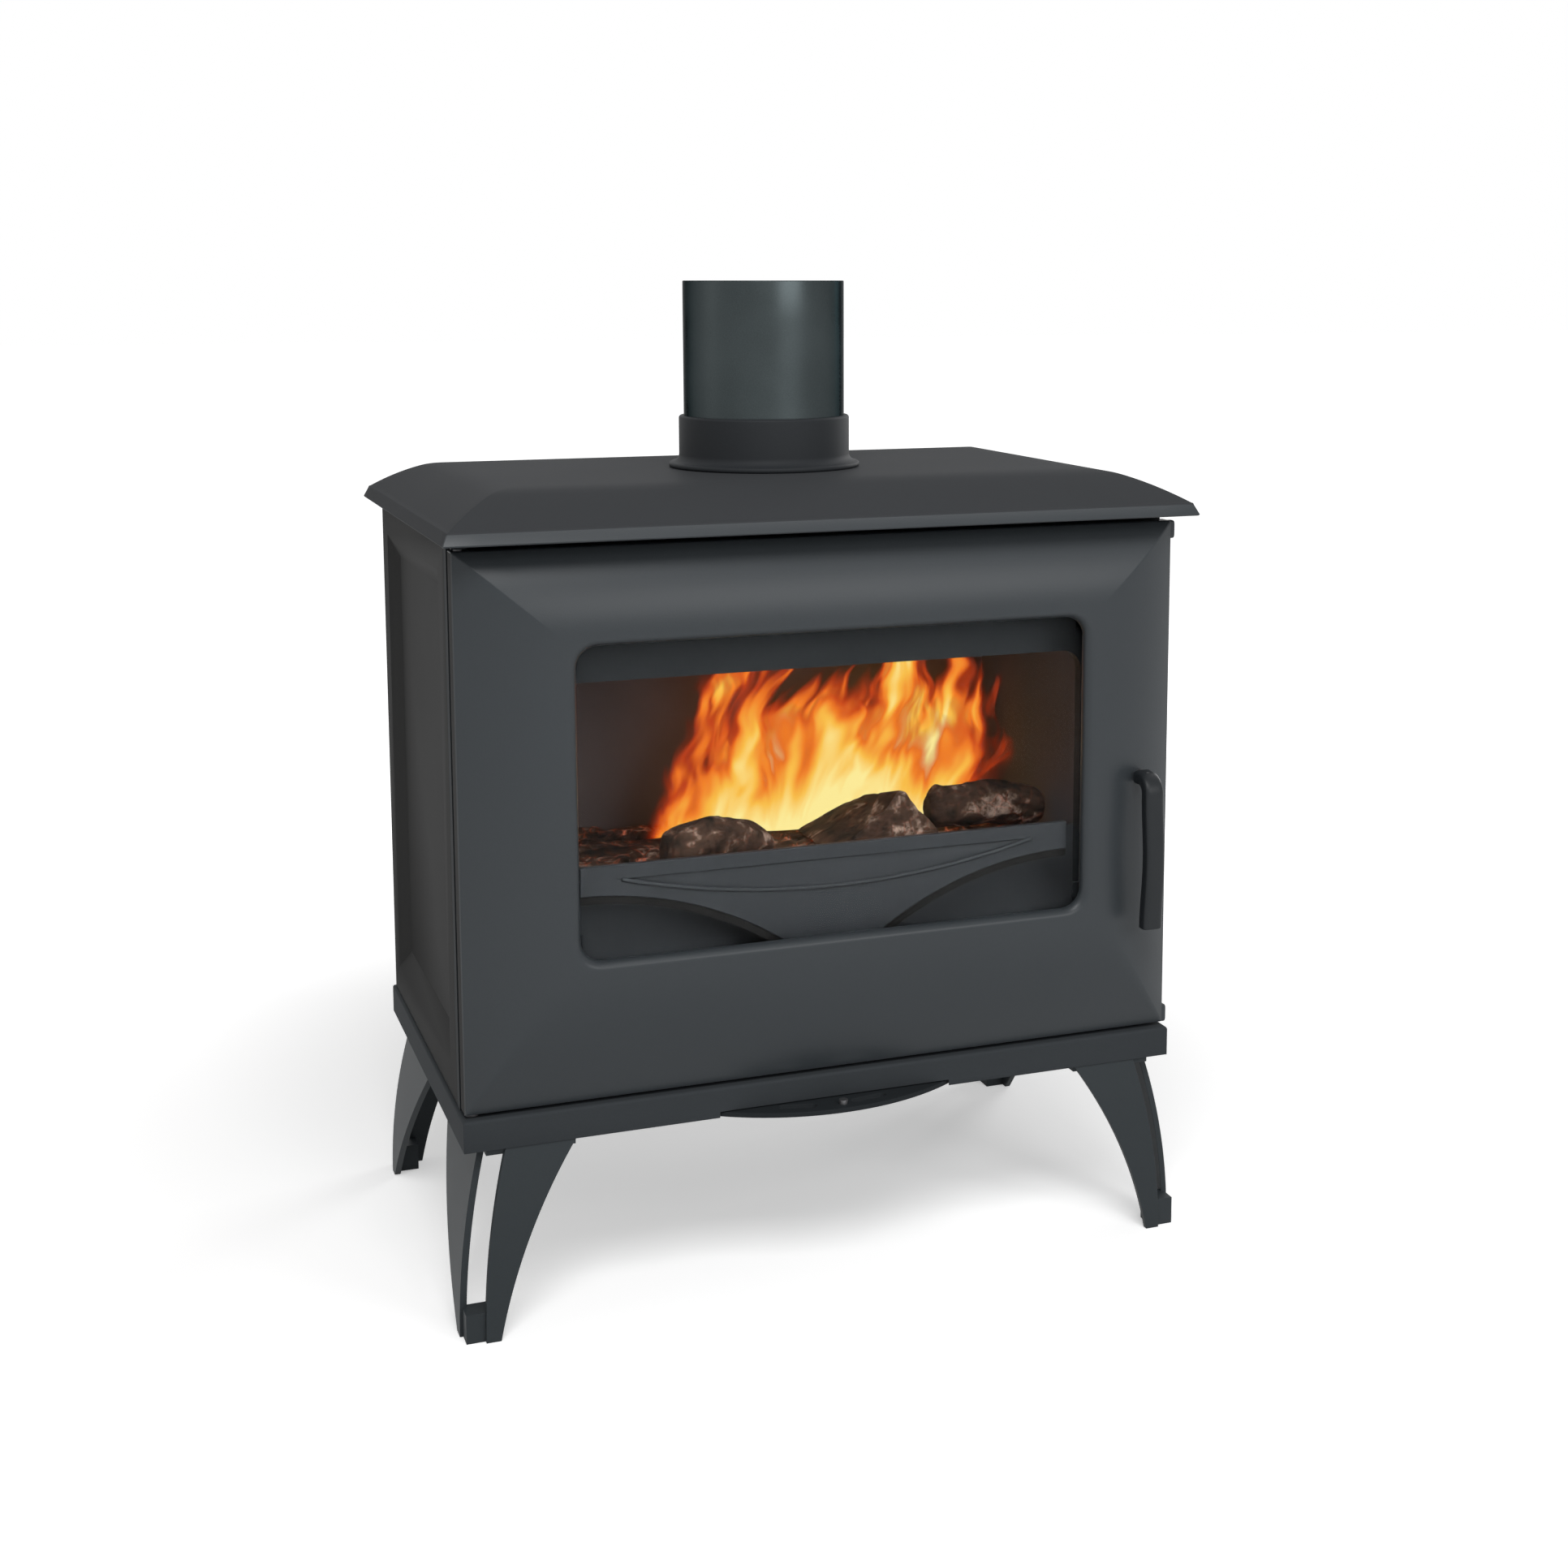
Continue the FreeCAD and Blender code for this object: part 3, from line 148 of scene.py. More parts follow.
class Surface:
    """Puts numpy grids of points into meshes."""

    @staticmethod
    def grid(name: str, points: np.ndarray, wrap: tuple[bool, bool],
             sharp_deg: float = 28.0) -> bpy.types.Object:
        """Joins neighbours of a grid into quads; a wrapped direction joins its last row to its first.

        Args:
            name: name of the new object.
            points: array of rows by columns by three, in metres.
            wrap: whether rows and columns close on themselves.
            sharp_deg: edges bent more than this stay sharp.

        Returns:
            The new object, at the origin, with a UV map that follows rows and columns.
        """
        rows, cols = points.shape[:2]
        i, j = np.meshgrid(np.arange(rows if wrap[0] else rows - 1),
                           np.arange(cols if wrap[1] else cols - 1), indexing="ij")
        i, j = i.ravel(), j.ravel()
        corner_i = np.stack([i, i + 1, i + 1, i], -1)
        corner_j = np.stack([j, j, j + 1, j + 1], -1)
        faces = (corner_i % rows) * cols + corner_j % cols
        mesh = bpy.data.meshes.new(name)
        mesh.from_pydata(points.reshape(-1, 3).tolist(), [], faces.tolist())
        uv = np.stack([corner_i / max(rows - (not wrap[0]), 1), corner_j / max(cols - (not wrap[1]), 1)], -1)
        layer = mesh.uv_layers.new(name="UVMap")
        layer.data.foreach_set("uv", uv.astype(np.float32).ravel())
        return Surface.link(name, mesh, sharp_deg)

    @staticmethod
    def link(name: str, mesh: bpy.types.Mesh, sharp_deg: float) -> bpy.types.Object:
        """Welds doubles, turns the faces outwards and shades smooth between sharp edges.

        Args:
            name: name of the new object.
            mesh: its mesh.
            sharp_deg: edges bent more than this stay sharp.

        Returns:
            The new object, in the scene.
        """
        work = bmesh.new()
        work.from_mesh(mesh)
        bmesh.ops.remove_doubles(work, verts=work.verts, dist=WELD)
        bmesh.ops.recalc_face_normals(work, faces=work.faces)
        work.to_mesh(mesh)
        work.free()
        mesh.shade_smooth()
        mesh.set_sharp_from_angle(angle=math.radians(sharp_deg))
        obj = bpy.data.objects.new(name, mesh)
        bpy.context.scene.collection.objects.link(obj)
        return obj

    @staticmethod
    def join(pieces: list[bpy.types.Object], name: str, weld: bool = False) -> bpy.types.Object:
        """Joins meshes into the first one.

        Args:
            pieces: the objects to join, all at the origin.
            name: name of the result.
            weld: whether doubled points merge and the faces turn outwards.

        Returns:
            The joined object.
        """
        work = bmesh.new()
        for piece in pieces:
            work.from_mesh(piece.data)
        if weld:
            bmesh.ops.remove_doubles(work, verts=work.verts, dist=WELD)
            bmesh.ops.recalc_face_normals(work, faces=work.faces)
        joined = pieces[0]
        work.to_mesh(joined.data)
        work.free()
        for piece in pieces[1:]:
            bpy.data.objects.remove(piece)
        joined.name = name
        return joined

    @staticmethod
    def perimeter(low: tuple[float, float], high: tuple[float, float], radii: tuple[float, ...],
                  arc: int = 7, run: int = 22) -> np.ndarray:
        """Walks once round a rectangle with rounded corners, anticlockwise from the lower left one.

        Each corner is a quarter circle of arc points, each side adds run points between two corners.

        Args:
            low: lower left corner.
            high: upper right corner.
            radii: corner radii: lower left, lower right, upper right, upper left.
            arc: points on a corner.
            run: points on a side.

        Returns:
            Array of points by two.
        """
        signs = np.array([(1, 1), (-1, 1), (-1, -1), (1, -1)])
        corners = np.array([low, (high[0], low[1]), high, (low[0], high[1])])
        radius = np.maximum(np.array(radii), LEAST_RADIUS)[:, None]
        centres = corners + signs * radius
        start = np.radians([180.0, 270.0, 0.0, 90.0])[:, None]
        angle = start + np.linspace(0.0, math.pi / 2, arc)
        arcs = centres[:, None] + radius[:, None] * np.stack([np.cos(angle), np.sin(angle)], -1)
        share = np.linspace(0.0, 1.0, run + 2)[1:-1][None, :, None]
        leave, reach = arcs[:, -1:], np.roll(arcs[:, :1], -1, axis=0)
        sides = leave + (reach - leave) * share
        return np.concatenate([arcs, sides], axis=1).reshape(-1, 2)

    @staticmethod
    def stacked(outlines: tuple[np.ndarray, ...] | np.ndarray, heights: tuple[float, ...] | np.ndarray,
                axis: Axis) -> np.ndarray:
        """Places flat outlines, each at its own height along an axis.

        Args:
            outlines: outlines of points by two, all with the same number of points.
            heights: one height for each outline.
            axis: the way heights run.

        Returns:
            Array of outlines by points by three.
        """
        flat = np.array(outlines)
        across, other = flat[..., 0], flat[..., 1]
        height = np.array(heights)[:, None] + 0 * across
        order = [across, other, height] if axis is Axis.UPRIGHT else [across, height, other]
        return np.stack(order, -1)

    @staticmethod
    def turned(name: str, profile: np.ndarray, centre: np.ndarray, axis: Axis = Axis.UPRIGHT,
               count: int = 128) -> bpy.types.Object:
        """Turns a closed profile of (radius, height) about an axis: (r cos a, r sin a, h).

        Args:
            name: name of the new object.
            profile: array of points by two.
            centre: point on the axis that heights count from.
            axis: the way heights run.
            count: points round the axis.

        Returns:
            The new object.
        """
        angle = round_angles(count)
        rings = profile[:, :1, None] * np.stack([np.cos(angle), np.sin(angle)], -1)
        return Surface.grid(name, Surface.stacked(rings, profile[:, 1], axis) + centre, (True, True))

    @staticmethod
    def capped(rings: np.ndarray) -> np.ndarray:
        """Adds a row at each end whose points all lie in that ring's middle, so that a swept bar closes.

        Args:
            rings: array of rings by points by three.

        Returns:
            The rings with both end rows.
        """
        first, last = (np.broadcast_to(rings[k].mean(0), rings[k].shape)[None] for k in (0, -1))
        return np.concatenate([first, rings, last])


class Nodes:
    """Adds and wires shader nodes in one tree."""

    def __init__(self, tree: bpy.types.NodeTree) -> None:
        """Keeps the tree."""
        self.tree = tree

    def add(self, kind: str, **values: object) -> bpy.types.Node:
        """Adds a node and sets attributes, or input sockets when the name starts with in_.

        Args:
            kind: the node's type name.
            values: attributes, or in_NAME for a socket's own value (underscores stand for spaces).

        Returns:
            The new node.
        """
        node = self.tree.nodes.new(kind)
        for key, value in values.items():
            if key.startswith("in_"):
                node.inputs[key[3:].replace("_", " ")].default_value = value
            else:
                setattr(node, key, value)
        return node

    def wire(self, source: bpy.types.NodeSocket, target: bpy.types.NodeSocket) -> None:
        """Links two sockets."""
        self.tree.links.new(source, target)

    def math(self, operation: str, first: object, second: object,
             clamp: bool = False) -> bpy.types.NodeSocket:
        """Adds a Math node.

        Args:
            operation: the node's operation.
            first: first operand, a socket or a number.
            second: second operand, a socket or a number.
            clamp: whether the result stays within 0..1.

        Returns:
            The result's socket.
        """
        node = self.add("ShaderNodeMath", operation=operation, use_clamp=clamp)
        for spot, value in zip(node.inputs, (first, second)):
            if isinstance(value, bpy.types.NodeSocket):
                self.wire(value, spot)
            else:
                spot.default_value = value
        return node.outputs[0]

    def line(self, source: bpy.types.NodeSocket, slope: float, start: float) -> bpy.types.NodeSocket:
        """Adds a straight line: start + slope times the source."""
        return self.math("ADD", self.math("MULTIPLY", source, slope), start)

    def ramp(self, factor: bpy.types.NodeSocket,
             stops: list[tuple[float, tuple[float, ...]]]) -> bpy.types.NodeSocket:
        """Adds a Color Ramp.

        Args:
            factor: what the ramp reads.
            stops: places along the ramp with their colours.

        Returns:
            The colour's socket.
        """
        node = self.add("ShaderNodeValToRGB")
        elements = node.color_ramp.elements
        while len(elements) < len(stops):
            elements.new(0.5)
        for element, (place, colour) in zip(elements, stops):
            element.position = place
            element.color = (*colour, 1.0)
        self.wire(factor, node.inputs[0])
        return node.outputs[0]

    def seen(self) -> bpy.types.NodeSocket:
        """Adds a mask of the rays that show the room: from the camera, off a gloss or through glass.

        Returns:
            The mask's socket, 1 for those rays and 0 for light.
        """
        path = self.add("ShaderNodeLightPath").outputs
        direct = self.math("ADD", path["Is Camera Ray"], path["Is Glossy Ray"])
        return self.math("ADD", direct, path["Is Transmission Ray"], clamp=True)


def principled(name: str, **values: object) -> tuple[bpy.types.Material, Nodes, bpy.types.Node]:
    """Starts a material on the Principled shader.

    Args:
        name: name of the material.
        values: plain values for the shader's inputs (underscores stand for spaces).

    Returns:
        The material, the helper for its nodes, and its shader.
    """
    material = bpy.data.materials.new(name)
    material.use_nodes = True
    shader = material.node_tree.nodes["Principled BSDF"]
    for key, value in values.items():
        shader.inputs[key.replace("_", " ")].default_value = value
    return material, Nodes(material.node_tree), shader


class Groups:
    """Shader node groups that several materials share, each built once."""

    @staticmethod
    def start(name: str, inputs: dict[str, str], outputs: dict[str, str]
              ) -> tuple[Nodes, bpy.types.bpy_prop_collection, bpy.types.bpy_prop_collection]:
        """Starts a group with its sockets.

        Args:
            name: name of the group.
            inputs: names of the inputs with their kinds.
            outputs: names of the outputs with their kinds.

        Returns:
            The helper for its nodes, the sockets of what is given and the sockets of what it puts out.
        """
        tree = bpy.data.node_groups.new(name, "ShaderNodeTree")
        for way, sockets in (("INPUT", inputs), ("OUTPUT", outputs)):
            for socket, kind in sockets.items():
                tree.interface.new_socket(socket, in_out=way, socket_type="NodeSocket" + kind)
        n = Nodes(tree)
        return n, n.add("NodeGroupInput").outputs, n.add("NodeGroupOutput").inputs

    @classmethod
    def cast_skin(cls) -> bpy.types.NodeTree:
        """Matt stove paint on cast metal: faint cloudiness, fine grain and a sandy bump.

        Returns:
            The group, with inputs Colour, Cloud, Grain, Roughness and outputs Colour, Roughness, Normal.
        """
        found = bpy.data.node_groups.get("cast_skin")
        if found:
            return found
        n, given, out = cls.start(
            "cast_skin", {"Colour": "Color", "Cloud": "Float", "Grain": "Float", "Roughness": "Float"},
            {"Colour": "Color", "Roughness": "Float", "Normal": "Vector"})
        place = n.add("ShaderNodeTexCoord").outputs["Object"]
        cloud = n.add("ShaderNodeTexNoise", in_Scale=7.0, in_Detail=3.0, in_Roughness=0.55)
        grain = n.add("ShaderNodeTexNoise", in_Scale=900.0, in_Detail=2.0)
        n.wire(place, cloud.inputs["Vector"])
        n.wire(place, grain.inputs["Vector"])
        drift = n.math("MULTIPLY", n.math("SUBTRACT", cloud.outputs[0], 0.5), given["Cloud"])
        speck = n.math("MULTIPLY", n.math("SUBTRACT", grain.outputs[0], 0.5), given["Grain"])
        level = n.math("ADD", n.math("ADD", drift, speck), 1.0)
        shade = n.add("ShaderNodeVectorMath", operation="SCALE")
        n.wire(given["Colour"], shade.inputs[0])
        n.wire(level, shade.inputs["Scale"])
        n.wire(shade.outputs[0], out["Colour"])
        dulled = n.math("ADD", given["Roughness"], n.math("MULTIPLY", drift, 0.5), clamp=True)
        n.wire(dulled, out["Roughness"])
        bump = n.add("ShaderNodeBump", in_Strength=0.12, in_Distance=0.4 * MM)
        n.wire(grain.outputs[0], bump.inputs["Height"])
        n.wire(bump.outputs[0], out["Normal"])
        return n.tree

    @classmethod
    def flame_body(cls) -> bpy.types.NodeTree:
        """Tongues of flame on a sheet's UV.

        Heat is a hot body that thins towards the top and both sides and cools towards the right, plus broad
        licks and fine wisps of noise along the rise. The mask is the same heat, cut off earlier.

        Returns:
            The group, with input Seed and outputs Heat and Mask.
        """
        found = bpy.data.node_groups.get("flame_body")
        if found:
            return found
        n, given, out = cls.start("flame_body", {"Seed": "Float"}, {"Heat": "Float", "Mask": "Float"})
        split = n.add("ShaderNodeSeparateXYZ")
        n.wire(n.add("ShaderNodeTexCoord").outputs["UV"], split.inputs[0])
        up, across = split.outputs[0], split.outputs[1]

        def streaks(source: bpy.types.NodeSocket, wide: float, tall: float,
                    twist: float) -> bpy.types.NodeSocket:
            """Adds noise stretched along the rise.

            Args:
                source: place across the sheet.
                wide: waves across the sheet.
                tall: waves along the rise.
                twist: distortion of the noise.

            Returns:
                The noise, about 0.
            """
            spot = n.add("ShaderNodeCombineXYZ")
            n.wire(n.math("MULTIPLY", source, wide), spot.inputs[0])
            n.wire(n.math("MULTIPLY", up, tall), spot.inputs[1])
            n.wire(given["Seed"], spot.inputs[2])
            noise = n.add("ShaderNodeTexNoise", in_Scale=1.0, in_Detail=2.0, in_Roughness=0.5,
                          in_Distortion=twist)
            n.wire(spot.outputs[0], noise.inputs["Vector"])
            return n.math("SUBTRACT", noise.outputs[0], 0.5)

        def arch(source: bpy.types.NodeSocket) -> bpy.types.NodeSocket:
            """Adds an arch over 0..1: x (1 - x)."""
            return n.math("MULTIPLY", source, n.math("SUBTRACT", 1.0, source))

        sway = n.math("MULTIPLY", streaks(across, 3.0, 2.6, 0.0), n.line(up, 0.35, 0.05))
        bent = n.math("ADD", across, sway)
        side = n.math("MULTIPLY", arch(bent), 4.0, clamp=True)
        body = n.math("MULTIPLY", n.math("POWER", side, 0.4), n.line(up, -1.38, 1.68))
        lick = n.math("MULTIPLY", streaks(bent, 5.5, 1.4, 0.5), n.line(up, 2.6, 1.5))
        wisp = n.math("MULTIPLY", streaks(bent, 14.0, 2.4, 0.8), n.line(up, 0.9, 1.0))
        cool = n.math("MULTIPLY", n.math("MULTIPLY", across, up), 0.62)
        core = n.math("SUBTRACT", n.math("SUBTRACT", body, 0.42), cool)
        heat = n.math("ADD", core, n.math("ADD", lick, wisp))
        fade = n.math("MULTIPLY", arch(across), 24.0, clamp=True)
        inside = n.math("MULTIPLY", fade, n.math("MULTIPLY", side, 5.0, clamp=True))
        kept = n.math("MULTIPLY", heat, inside)
        n.wire(n.math("MULTIPLY", kept, 0.92, clamp=True), out["Heat"])
        n.wire(n.math("MULTIPLY", kept, 2.6, clamp=True), out["Mask"])
        return n.tree


@dataclass(frozen=True)
class Finish:
    """A plain surface finish and how grain lies on it."""

    name: str
    colour: tuple[float, float, float]
    roughness: float
    metallic: float = 0.0
    specular: float = 0.5
    cloud: float = 0.12
    grain: float = 0.12
    edge_tint: float = 1.0

    def material(self) -> bpy.types.Material:
        """Builds the material once.

        Returns:
            The material with this finish.
        """
        found = bpy.data.materials.get(self.name)
        if found:
            return found
        material, n, shader = principled(
            self.name, Metallic=self.metallic, Specular_IOR_Level=self.specular,
            Specular_Tint=(self.edge_tint, self.edge_tint, self.edge_tint, 1.0))
        skin = n.add("ShaderNodeGroup", node_tree=Groups.cast_skin(), in_Colour=(*self.colour, 1.0),
                     in_Cloud=self.cloud, in_Grain=self.grain, in_Roughness=self.roughness)
        n.wire(skin.outputs["Colour"], shader.inputs["Base Color"])
        n.wire(skin.outputs["Roughness"], shader.inputs["Roughness"])
        n.wire(skin.outputs["Normal"], shader.inputs["Normal"])
        return material


# One stove paint in tones set part by part: the lighter lid and base and the darker collar, handle and frame
# are painted light and shade, partly real soot inside the firebox.
IRON = Finish("look_door", (0.032, 0.0372, 0.0415), 0.35, specular=0.22)
IRON_BASE = Finish("look_base", (0.04, 0.0445, 0.0485), 0.6, specular=0.02)
IRON_LID = Finish("look_lid", (0.046, 0.0483, 0.0515), 0.55, specular=0.01)
IRON_COLLAR = Finish("look_collar", (0.019, 0.021, 0.0235), 0.6, specular=0.13, cloud=0.3)
IRON_SIDE = Finish("look_side", (0.025, 0.025, 0.0248), 0.65, specular=0.03)
IRON_LEG = Finish("look_leg", (0.028, 0.0335, 0.037), 0.5, specular=0.15)
IRON_HANDLE = Finish("look_handle", (0.0115, 0.0135, 0.0155), 0.42, specular=0.2)
IRON_FIRE = Finish("look_guard", (0.018, 0.0205, 0.0235), 0.55, specular=0.12, cloud=0.3)
IRON_FENCE = Finish("look_fence", (0.024, 0.027, 0.03), 0.7, specular=0.08, cloud=0.3)
IRON_FRAME = Finish("look_frame", (0.0145, 0.017, 0.019), 0.7, specular=0.1)
# Soot on the firebox plates, and painted shadow on the strips under the log guard's arches.
SOOT_AND_SHADOW = Finish("look_soot_and_shadow", (0.008, 0.008, 0.008), 0.9, specular=0.05, cloud=0.4)
PIPE = Finish("look_pipe", (0.044, 0.053, 0.055), 0.29, metallic=0.75, specular=0.0, cloud=0.8, grain=0.3,
              edge_tint=0.3)
STEEL = Finish("look_steel", (0.16, 0.16, 0.165), 0.42, metallic=0.9)
SHEET = Finish("look_sheet", (0.1, 0.1, 0.1), 0.5, metallic=0.8, cloud=0.4)
BRASS = Finish("look_brass", (0.45, 0.32, 0.14), 0.35, metallic=1.0)
BRICK = Finish("look_brick", (0.085, 0.076, 0.078), 0.95, specular=0.08, cloud=0.7, grain=0.3)
ROPE = Finish("look_rope", (0.16, 0.15, 0.135), 0.95, grain=0.4)

FINISHED_NODES: dict[Finish, tuple[str, ...]] = {
    IRON: ("door",),
    IRON_BASE: ("base_plate",),
    IRON_LID: ("top_plate",),
    IRON_COLLAR: ("flue_collar",),
    IRON_SIDE: ("side_panel_left", "side_panel_right", "back_panel"),
    IRON_LEG: ("leg_front_left", "leg_front_right", "leg_back_left", "leg_back_right"),
    IRON_HANDLE: ("handle_lever",),
    IRON_FIRE: ("log_guard",),
    IRON_FENCE: ("ash_fence",),
    IRON_FRAME: ("front_frame", "register_disc", "glass_clips", "clip_screws"),
    SOOT_AND_SHADOW: ("hearth_plate", "grate", "baffle_plate"),
    PIPE: ("flue_pipe",),
    STEEL: ("collar_screws", "guard_spacers", "tie_rods", "leg_bolts", "hinge_pin_top", "hinge_pin_bottom",
            "hinge_washer", "latch_keeper", "register_bolt", "register_knob", "handle_spindle", "latch_cam",
            "cam_nut"),
    SHEET: ("ash_pan", "pan_rails"),
    BRASS: ("handle_bush",),
    BRICK: ("liner_left", "liner_right", "liner_back"),
    ROPE: ("glass_gasket", "door_rope"),
}
NODE_FINISH = {node: finish for finish, nodes in FINISHED_NODES.items() for node in nodes}


def dress(obj: bpy.types.Object, material: bpy.types.Material) -> bpy.types.Object:
    """Gives an object one material.

    Args:
        obj: the object.
        material: its only material.

    Returns:
        The object.
    """
    obj.data.materials.clear()
    obj.data.materials.append(material)
    return obj


def stand_for(obj: bpy.types.Object, node: str,
              material: bpy.types.Material | None = None) -> bpy.types.Object:
    """Lets a new piece ride on a node's body in that node's place.

    Args:
        obj: the new piece.
        node: the CAD node that it stands for.
        material: its material, or None for the node's own finish.

    Returns:
        The piece.
    """
    dress(obj, material or NODE_FINISH[node].material())
    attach(obj, body_of(node))
    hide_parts(node)
    LOG.info("%s stands for %s", obj.name, node)
    return obj


def add_to(body: Body, obj: bpy.types.Object, material: bpy.types.Material) -> None:
    """Lets a piece without a CAD node ride on a body.

    Args:
        body: the body.
        obj: the piece.
        material: its material.
    """
    dress(obj, material)
    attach(obj, body.value)
    LOG.info("%s rides on %s", obj.name, body.value)


def refinish(obj: bpy.types.Object, finish: Finish, low: tuple[float, ...], high: tuple[float, ...]) -> None:
    """Gives the faces whose middles lie inside a box a second finish.

    Args:
        obj: the piece, with one material so far.
        finish: the second finish.
        low: the box's lowest corner.
        high: the box's highest corner.
    """
    obj.data.materials.append(finish.material())
    middles = np.empty(len(obj.data.polygons) * 3)
    obj.data.polygons.foreach_get("center", middles)
    places = middles.reshape(-1, 3)
    inside = np.all((places > np.array(low)) & (places < np.array(high)), axis=1)
    obj.data.polygons.foreach_set("material_index", inside.astype(np.int32))


@dataclass
class Casting:
    """A casting shown with its CAD form, its edges eased the way a mould leaves them."""

    node: str
    ease: float
    sharp_deg: float = 32.0
    flat_deg: float = 0.5
    weld: float = 0.01 * MM
    segments: int = 2

    def build(self) -> None:
        """Copies the node's mesh, welds it, joins flat facets and rounds its edges."""
        mesh = frame["nodes"][self.node].data.copy()
        work = bmesh.new()
        work.from_mesh(mesh)
        bmesh.ops.remove_doubles(work, verts=work.verts, dist=self.weld)
        bmesh.ops.dissolve_limit(work, angle_limit=math.radians(self.flat_deg), verts=work.verts,
                                 edges=work.edges)
        work.to_mesh(mesh)
        work.free()
        obj = Surface.link(self.node + "_casting", mesh, self.sharp_deg)
        bevel = obj.modifiers.new("eased_edges", "BEVEL")
        bevel.width = self.ease
        bevel.segments = self.segments
        bevel.limit_method = "ANGLE"
        bevel.angle_limit = math.radians(self.sharp_deg)
        bevel.use_clamp_overlap = True
        bevel.harden_normals = True
        stand_for(obj, self.node)


@dataclass
class Door:
    """The pillow door: one closed skin from the rim over the hips, round the window and back inside."""

    pillow: float = 25.0 * MM
    rim_depth: float = 18.0 * MM
    side_border: float = 88.0 * MM
    top_border: float = 76.0 * MM
    low_border: float = 122.0 * MM
    wall: float = 9.0 * MM
    rim_width: float = 26.0 * MM
    window_half: float = 237.0 * MM
    window_low: float = 130.0 * MM
    window_height: float = 274.0 * MM
    window_corner: float = 19.0 * MM
    bullnose: float = 8.0 * MM
    bullnose_reach: tuple[float, float, float] = (10.0 * MM, 7.6 * MM, 5.6 * MM)
    edge: float = 1.6 * MM
    rim_corner: float = 1.6 * MM
    hip_corner: float = 1.2 * MM
    flat_low_corner: float = 16.0 * MM
    hollow_low_corner: float = 9.0 * MM
    edge_margin: float = 0.1 * MM
    flat_step_share: float = 0.6
    inner_lip_share: float = 0.8
    hollow_share: float = 0.5
    nub: float = 4.0 * MM
    nub_height: float = 17.0 * MM
    nub_sink: float = 0.01 * MM
    nub_depth_share: float = 0.25
    nub_power: float = 0.35
    bush_boss: float = 13.0 * MM
    bush_sink_share: float = 1.5
    clip_boss: float = 6.0 * MM
    clip_sink_share: float = 0.5
    boss_core: float = 0.2 * MM
    boss_ease: float = 0.8 * MM
    low: np.ndarray = field(init=False)
    high: np.ndarray = field(init=False)
    half_width: float = field(init=False)
    back: float = field(init=False)
    rim: float = field(init=False)
    face: float = field(init=False)

    def __post_init__(self) -> None:
        """Takes the door's box from the frame, without the two nubs at its right edge."""
        self.low, self.high = span("door")
        self.half_width = -self.low[0]
        self.back = self.high[1]
        self.rim = self.back - self.rim_depth
        self.face = self.rim - self.pillow

    def rect(self, inset: tuple[float, float, float], radii: tuple[float, ...]) -> np.ndarray:
        """Gives the perimeter of the door's outline, moved in.

        Args:
            inset: inset at the sides, the bottom and the top.
            radii: corner radii.

        Returns:
            Array of points by two.
        """
        side, bottom, top = inset
        return Surface.perimeter((-self.half_width + side, self.low[2] + bottom),
                                 (self.half_width - side, self.high[2] - top), radii)

    def window(self, grow_share: float) -> np.ndarray:
        """Gives the perimeter of the window.

        Args:
            grow_share: how far it lies outside the window, as a share of the bullnose's reach.

        Returns:
            Array of points by two.
        """
        side, bottom, top = grow_share * np.array(self.bullnose_reach)
        low = self.low[2] + self.window_low
        return Surface.perimeter((-self.window_half - side, low - bottom),
                                 (self.window_half + side, low + self.window_height + top),
                                 (self.window_corner + bottom,) * 4)

    def skin(self) -> bpy.types.Object:
        """Carries the perimeter through stations; from rim to flat the skin rises by 1 - (1 - t) squared.

        Returns:
            The door's skin.
        """
        e = self.edge
        hips = (self.hip_corner,) * 2
        crisp = (self.rim_corner,) * 4
        hollow_corners = (self.hollow_low_corner,) * 2 + hips
        outline = self.rect((0.0,) * 3, crisp)
        rim = self.rect((e / 2,) * 3, crisp)
        flat = self.rect((self.side_border, self.low_border, self.top_border),
                         (self.flat_low_corner,) * 2 + hips)
        near = self.window(1.0)
        hollow = self.rect((self.rim_width,) * 3, hollow_corners)
        inner = self.face + self.wall
        stations = [(self.rect((e,) * 3, crisp), self.back), (outline, self.back - e),
                    (outline, self.rim + e), (rim, self.rim)]
        stations += [(rim + (flat - rim) * t, self.rim - self.pillow * (1 - (1 - t) ** 2)) for t in steps(17)]
        stations += [(flat + (near - flat) * self.flat_step_share, self.face), (near, self.face)]
        stations += [(self.window(1 - math.sin(a)), self.face + self.bullnose * (1 - math.cos(a)))
                     for a in steps(7) * math.pi / 2]
        stations += [(self.window(0.0), inner), (self.window(self.inner_lip_share), inner), (flat, inner)]
        stations += [(flat + (hollow - flat) * t, inner + self.pillow * self.hollow_share * t ** 2)
                     for t in steps(6)]
        stations += [(hollow, self.back - e),
                     (self.rect((self.rim_width - e,) * 3, hollow_corners), self.back)]
        points = Surface.stacked(*zip(*stations), Axis.DEPTH)
        return Surface.grid("door_skin", points, (True, True), sharp_deg=24.0)

